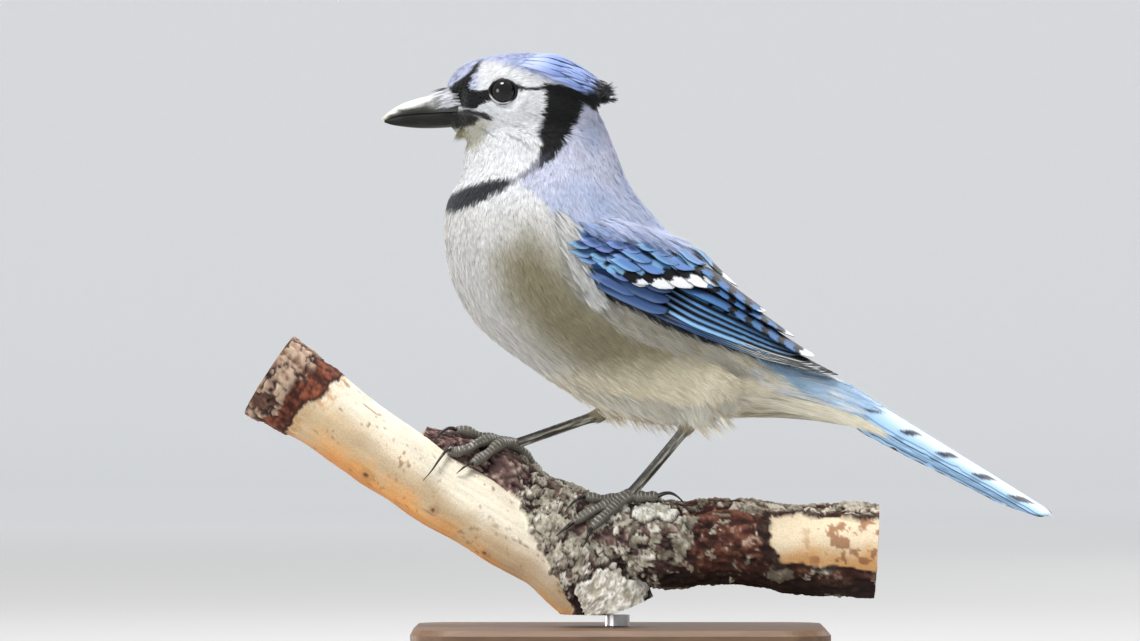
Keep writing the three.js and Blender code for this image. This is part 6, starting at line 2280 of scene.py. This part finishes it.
def side_spot(px, side):
    """The place of the skin that the photograph shows at a pixel, on either side."""
    x, z = from_px(px)
    return skin.tree.ray_cast(Vector((x, side * 60, z)), Vector((0, -side, 0)))[0]


def plumes(coat):
    """Loose feathers in front of the wing, over it and on the belly."""
    rng = np.random.default_rng(61)
    for line, run, length, width, lift, count, strand, colour in PLUMES:
        knots = np.array(line, float)
        way = np.array([run[0], 0, -run[1]])
        roots, normals, flows, maps = [], [], [], []
        for side in (-1, 1):
            for _ in range(count):
                at = rng.random() * (len(knots) - 1)
                px = [np.interp(at, range(len(knots)), knots[:, k]) + rng.normal(0, 3.5) for k in (0, 1)]
                hit = side_spot(px, side)
                if hit is None:
                    continue
                place, normal, flow, index = skin.project(hit)
                normal = unit(normal)
                along = unit(flow) * 0.35 + way + rng.normal(0, 0.1, 3)
                roots.append(place)
                normals.append(normal)
                flows.append(unit(along - normal * (along @ normal)))
                maps.append(skin.map[index])
        number = len(roots)
        coat.lay(
            np.array(roots),
            np.array(normals),
            np.array(flows),
            length * rng.uniform(0.8, 1.15, number),
            width=width,
            lift=lift * rng.uniform(0.75, 1.1, number),
            barbs=26,
            strand=strand,
            uv=np.array(maps),
            tint=np.array(colour) * rng.uniform(0.96, 1.05, (number, 1)),
        )


def free_tufts(coat, rows, width, barbs, strand, rise=0.0):
    """Tufts given by their root, middle, end, outward direction, map place and colour."""
    shafts = np.array([[root, middle, end] for root, middle, end, _, _, _ in rows])
    tops = np.array([[out] * 3 for _, _, _, out, _, _ in rows])
    maps = np.array([spot for _, _, _, _, spot, _ in rows])
    tint = np.array([colour for _, _, _, _, _, colour in rows])
    coat.add(shafts, tops, width, rise, barbs, strand, maps, tint)


def wisps(coat):
    """Loose tufts that hang from the lower line of the belly."""
    rng = np.random.default_rng(63)
    knots = np.array(BELLY_LINE_PX, float)
    rows = []
    for _ in range(150):
        side = rng.choice([-1, 1])
        at = rng.random() ** 0.8 * (len(knots) - 1)
        px = [np.interp(at, range(len(knots)), knots[:, k]) for k in (0, 1)]
        hit = side_spot((px[0], px[1] - rng.uniform(0, 9)), side)
        if hit is None:
            continue
        root, normal, _, index = skin.project(hit)
        root, out = np.array(root), unit(np.array(normal))
        way = unit(np.array((rng.uniform(0.35, 0.9), rng.normal(0, 0.15), -rng.uniform(0.5, 1))))
        length = rng.uniform(5, 9.5)
        middle = root + way * length * 0.5 + out * 0.9
        end = root + way * length + np.array((0.12, 0, -0.08)) * length
        colour = np.array(WISP) * rng.uniform(0.92, 1.04)
        rows.append((root, middle, end, out, skin.map[index], colour))
    free_tufts(coat, rows, 0.8, 18, 0.075, 0.3)


def cuffs(coat):
    """Short feathers that end the thighs at the heels."""
    rng = np.random.default_rng(67)
    rows = []
    for number, leg in enumerate(LEGS.values()):
        hip, heel, foot = (np.array(leg[key], float) for key in ("hip", "heel", "foot"))
        thigh, shank = unit(heel - hip), unit(foot - heel)
        across = unit(np.cross(thigh, (0.3, 1, 0.1)))
        up = np.cross(across, thigh)
        for turn in np.linspace(0, 2 * np.pi, 40, endpoint=False):
            out = across * math.cos(turn) + up * math.sin(turn)
            root = heel - thigh * rng.uniform(1, 5) + out * 2.4
            middle = heel + out * 2.6 + thigh * 0.3
            end = heel + shank * rng.uniform(1.5, 4.2) + out * 2.0 + thigh * rng.uniform(0.2, 1.4)
            spot = (0.93 + 0.05 * math.cos(turn), 0.4 + 0.4 * number + 0.02 * math.sin(turn))
            rows.append((root, middle, end, out, spot, (0.62 + rng.normal(0, 0.03), 0.59, 0.5)))
    free_tufts(coat, rows, 0.9, 20, 0.13, 0.3)


def body_map(station, angle):
    """Place on the unwrap of a place on the body."""
    return 0.43 + angle * 0.13, 0.27 + 0.71 * (station - 1) / 11


def tail_coverts(coat):
    """Long feathers over and under the root of the tail."""
    rng = np.random.default_rng(71)
    above, below = [], []
    for _ in range(460):
        station, angle = rng.uniform(9.6, 11.6), rng.uniform(-1.45, 1.45)
        root = body.at(station, angle, -0.6)
        out = body.normal(station, angle)
        along = np.array((station - 9.6) * 7 + rng.uniform(-8, 6))
        across = np.array(abs(angle) / 1.45 * 13.5 + rng.normal(0, 0.8))
        end = tail_point(along, 1 if angle > 0 else -1, across, np.array(0.3))
        middle = (root + end) / 2 + out * 0.5
        wisp = rng.random() < 0.1 + 0.4 * smooth(abs(angle), 0.7, 1.4)
        colour = np.array(TAIL_WISP if wisp else TAIL_COVERT) * rng.uniform(0.95, 1.04)
        above.append((root, middle, end, out, body_map(station, angle), colour))
    for _ in range(420):
        station, angle = rng.uniform(9.8, 11.8), rng.choice([-1, 1]) * rng.uniform(1.5, 3.14)
        root = body.at(station, angle, -0.6)
        out = body.normal(station, angle)
        along = np.array((station - 9.8) * 9 + rng.uniform(2, 13))
        across = np.array(14.5 - 9 * (abs(angle) - 1.5) / 1.64)
        end = tail_point(along, 1 if angle > 0 else -1, across, np.array(-1.2)) - (0, 0, 0.8)
        middle = (root + end) / 2 + out * 0.9
        colour = np.array(VENT_COVERT) * rng.uniform(0.97, 1.03)
        below.append((root, middle, end, out, body_map(station, angle), colour))
    free_tufts(coat, above, 1.4, 24, 0.12, 0.2)
    free_tufts(coat, below, 1.8, 30, 0.15, 0.3)


def bristles(coat):
    """Stiff small feathers over the nostrils, round the chin and under the end of the crest."""
    rng = np.random.default_rng(73)
    nostril, chin, nape = [], [], []
    for _ in range(150):
        side, low = rng.choice([-1, 1]), rng.random()
        x = -55.5 - 3.5 * rng.random()
        y = 6.9 - 2.4 * (1 - low) ** 2 - 1.6 * rng.random() * (1 - low)
        root = np.array((x, side * y, 148.6 - 7 * low))
        reach = rng.uniform(6, 13.5) * (1 - 0.3 * low)
        y = bill_half(x - reach) * (0.55 + 0.55 * low) + 0.35
        end = np.array((x - reach, side * y, root[2] - 0.16 * reach - 0.6))
        middle = (root + end) / 2 + (0, side * 0.7, 0.7)
        shade = rng.choice([0.90, 0.74, 0.34], p=[0.55, 0.25, 0.2])
        colour = np.array((shade, shade, shade * 1.03))
        out = unit(np.array((0, side, 0.9 - low)))
        nostril.append((root, middle, end, out, (0.43 + 0.1 * side, 0.02 + 0.01 * low), colour))
    for _ in range(190):
        side, low = rng.choice([-1, 1]), rng.random()
        root = np.array((-57 + 6 * rng.random(), side * (7.2 - 5.5 * low), 134.6 - 1.6 * low))
        reach = rng.uniform(3, 7.5)
        end = root + (-reach * 0.62, -side * 0.5, -reach * 0.72)
        middle = (root + end) / 2 + (0, side * 0.3, 0.2)
        dark = rng.random() < 0.35
        colour = np.array(CHIN_DARK if dark else CHIN_PALE) * rng.uniform(0.9, 1.1)
        out = unit(np.array((0, side * 0.6, -0.8)))
        chin.append((root, middle, end, out, (0.43 + 0.2 * side, 0.03), colour))
    for _ in range(110):
        angle = rng.uniform(-1.3, 1.3)
        root = crest_point(rng.uniform(0.66, 0.9), angle, rng.uniform(-2.6, -0.4))
        x = -3.4 - 3.5 * abs(angle) + rng.normal(0, 1.2)
        z = 147.4 - 3.4 * abs(angle) + rng.normal(0, 1.2)
        end = np.array((x, root[1] * 0.95, z))
        middle = (root + end) / 2 + (0.5, 0, 0.8)
        out = unit(np.array((0.4, math.sin(-angle), 0.6)))
        nape.append((root, middle, end, out, (0.43 - angle * 0.05, 0.25), np.array(NAPE_DARK)))
    free_tufts(coat, nostril, 0.55, 14, 0.10)
    free_tufts(coat, chin, 0.3, 6, 0.06)
    free_tufts(coat, nape, 1.0, 22, 0.11, 0.2)


coat = Coat()
body_coat(coat)
plumes(coat)
wisps(coat)
cuffs(coat)
tail_coverts(coat)
bristles(coat)
skin_piece()
coat_pieces(coat, np.random.default_rng(21))
wings()
tail()
crest()
bill()
eyes()
perch()
legs()
stand()
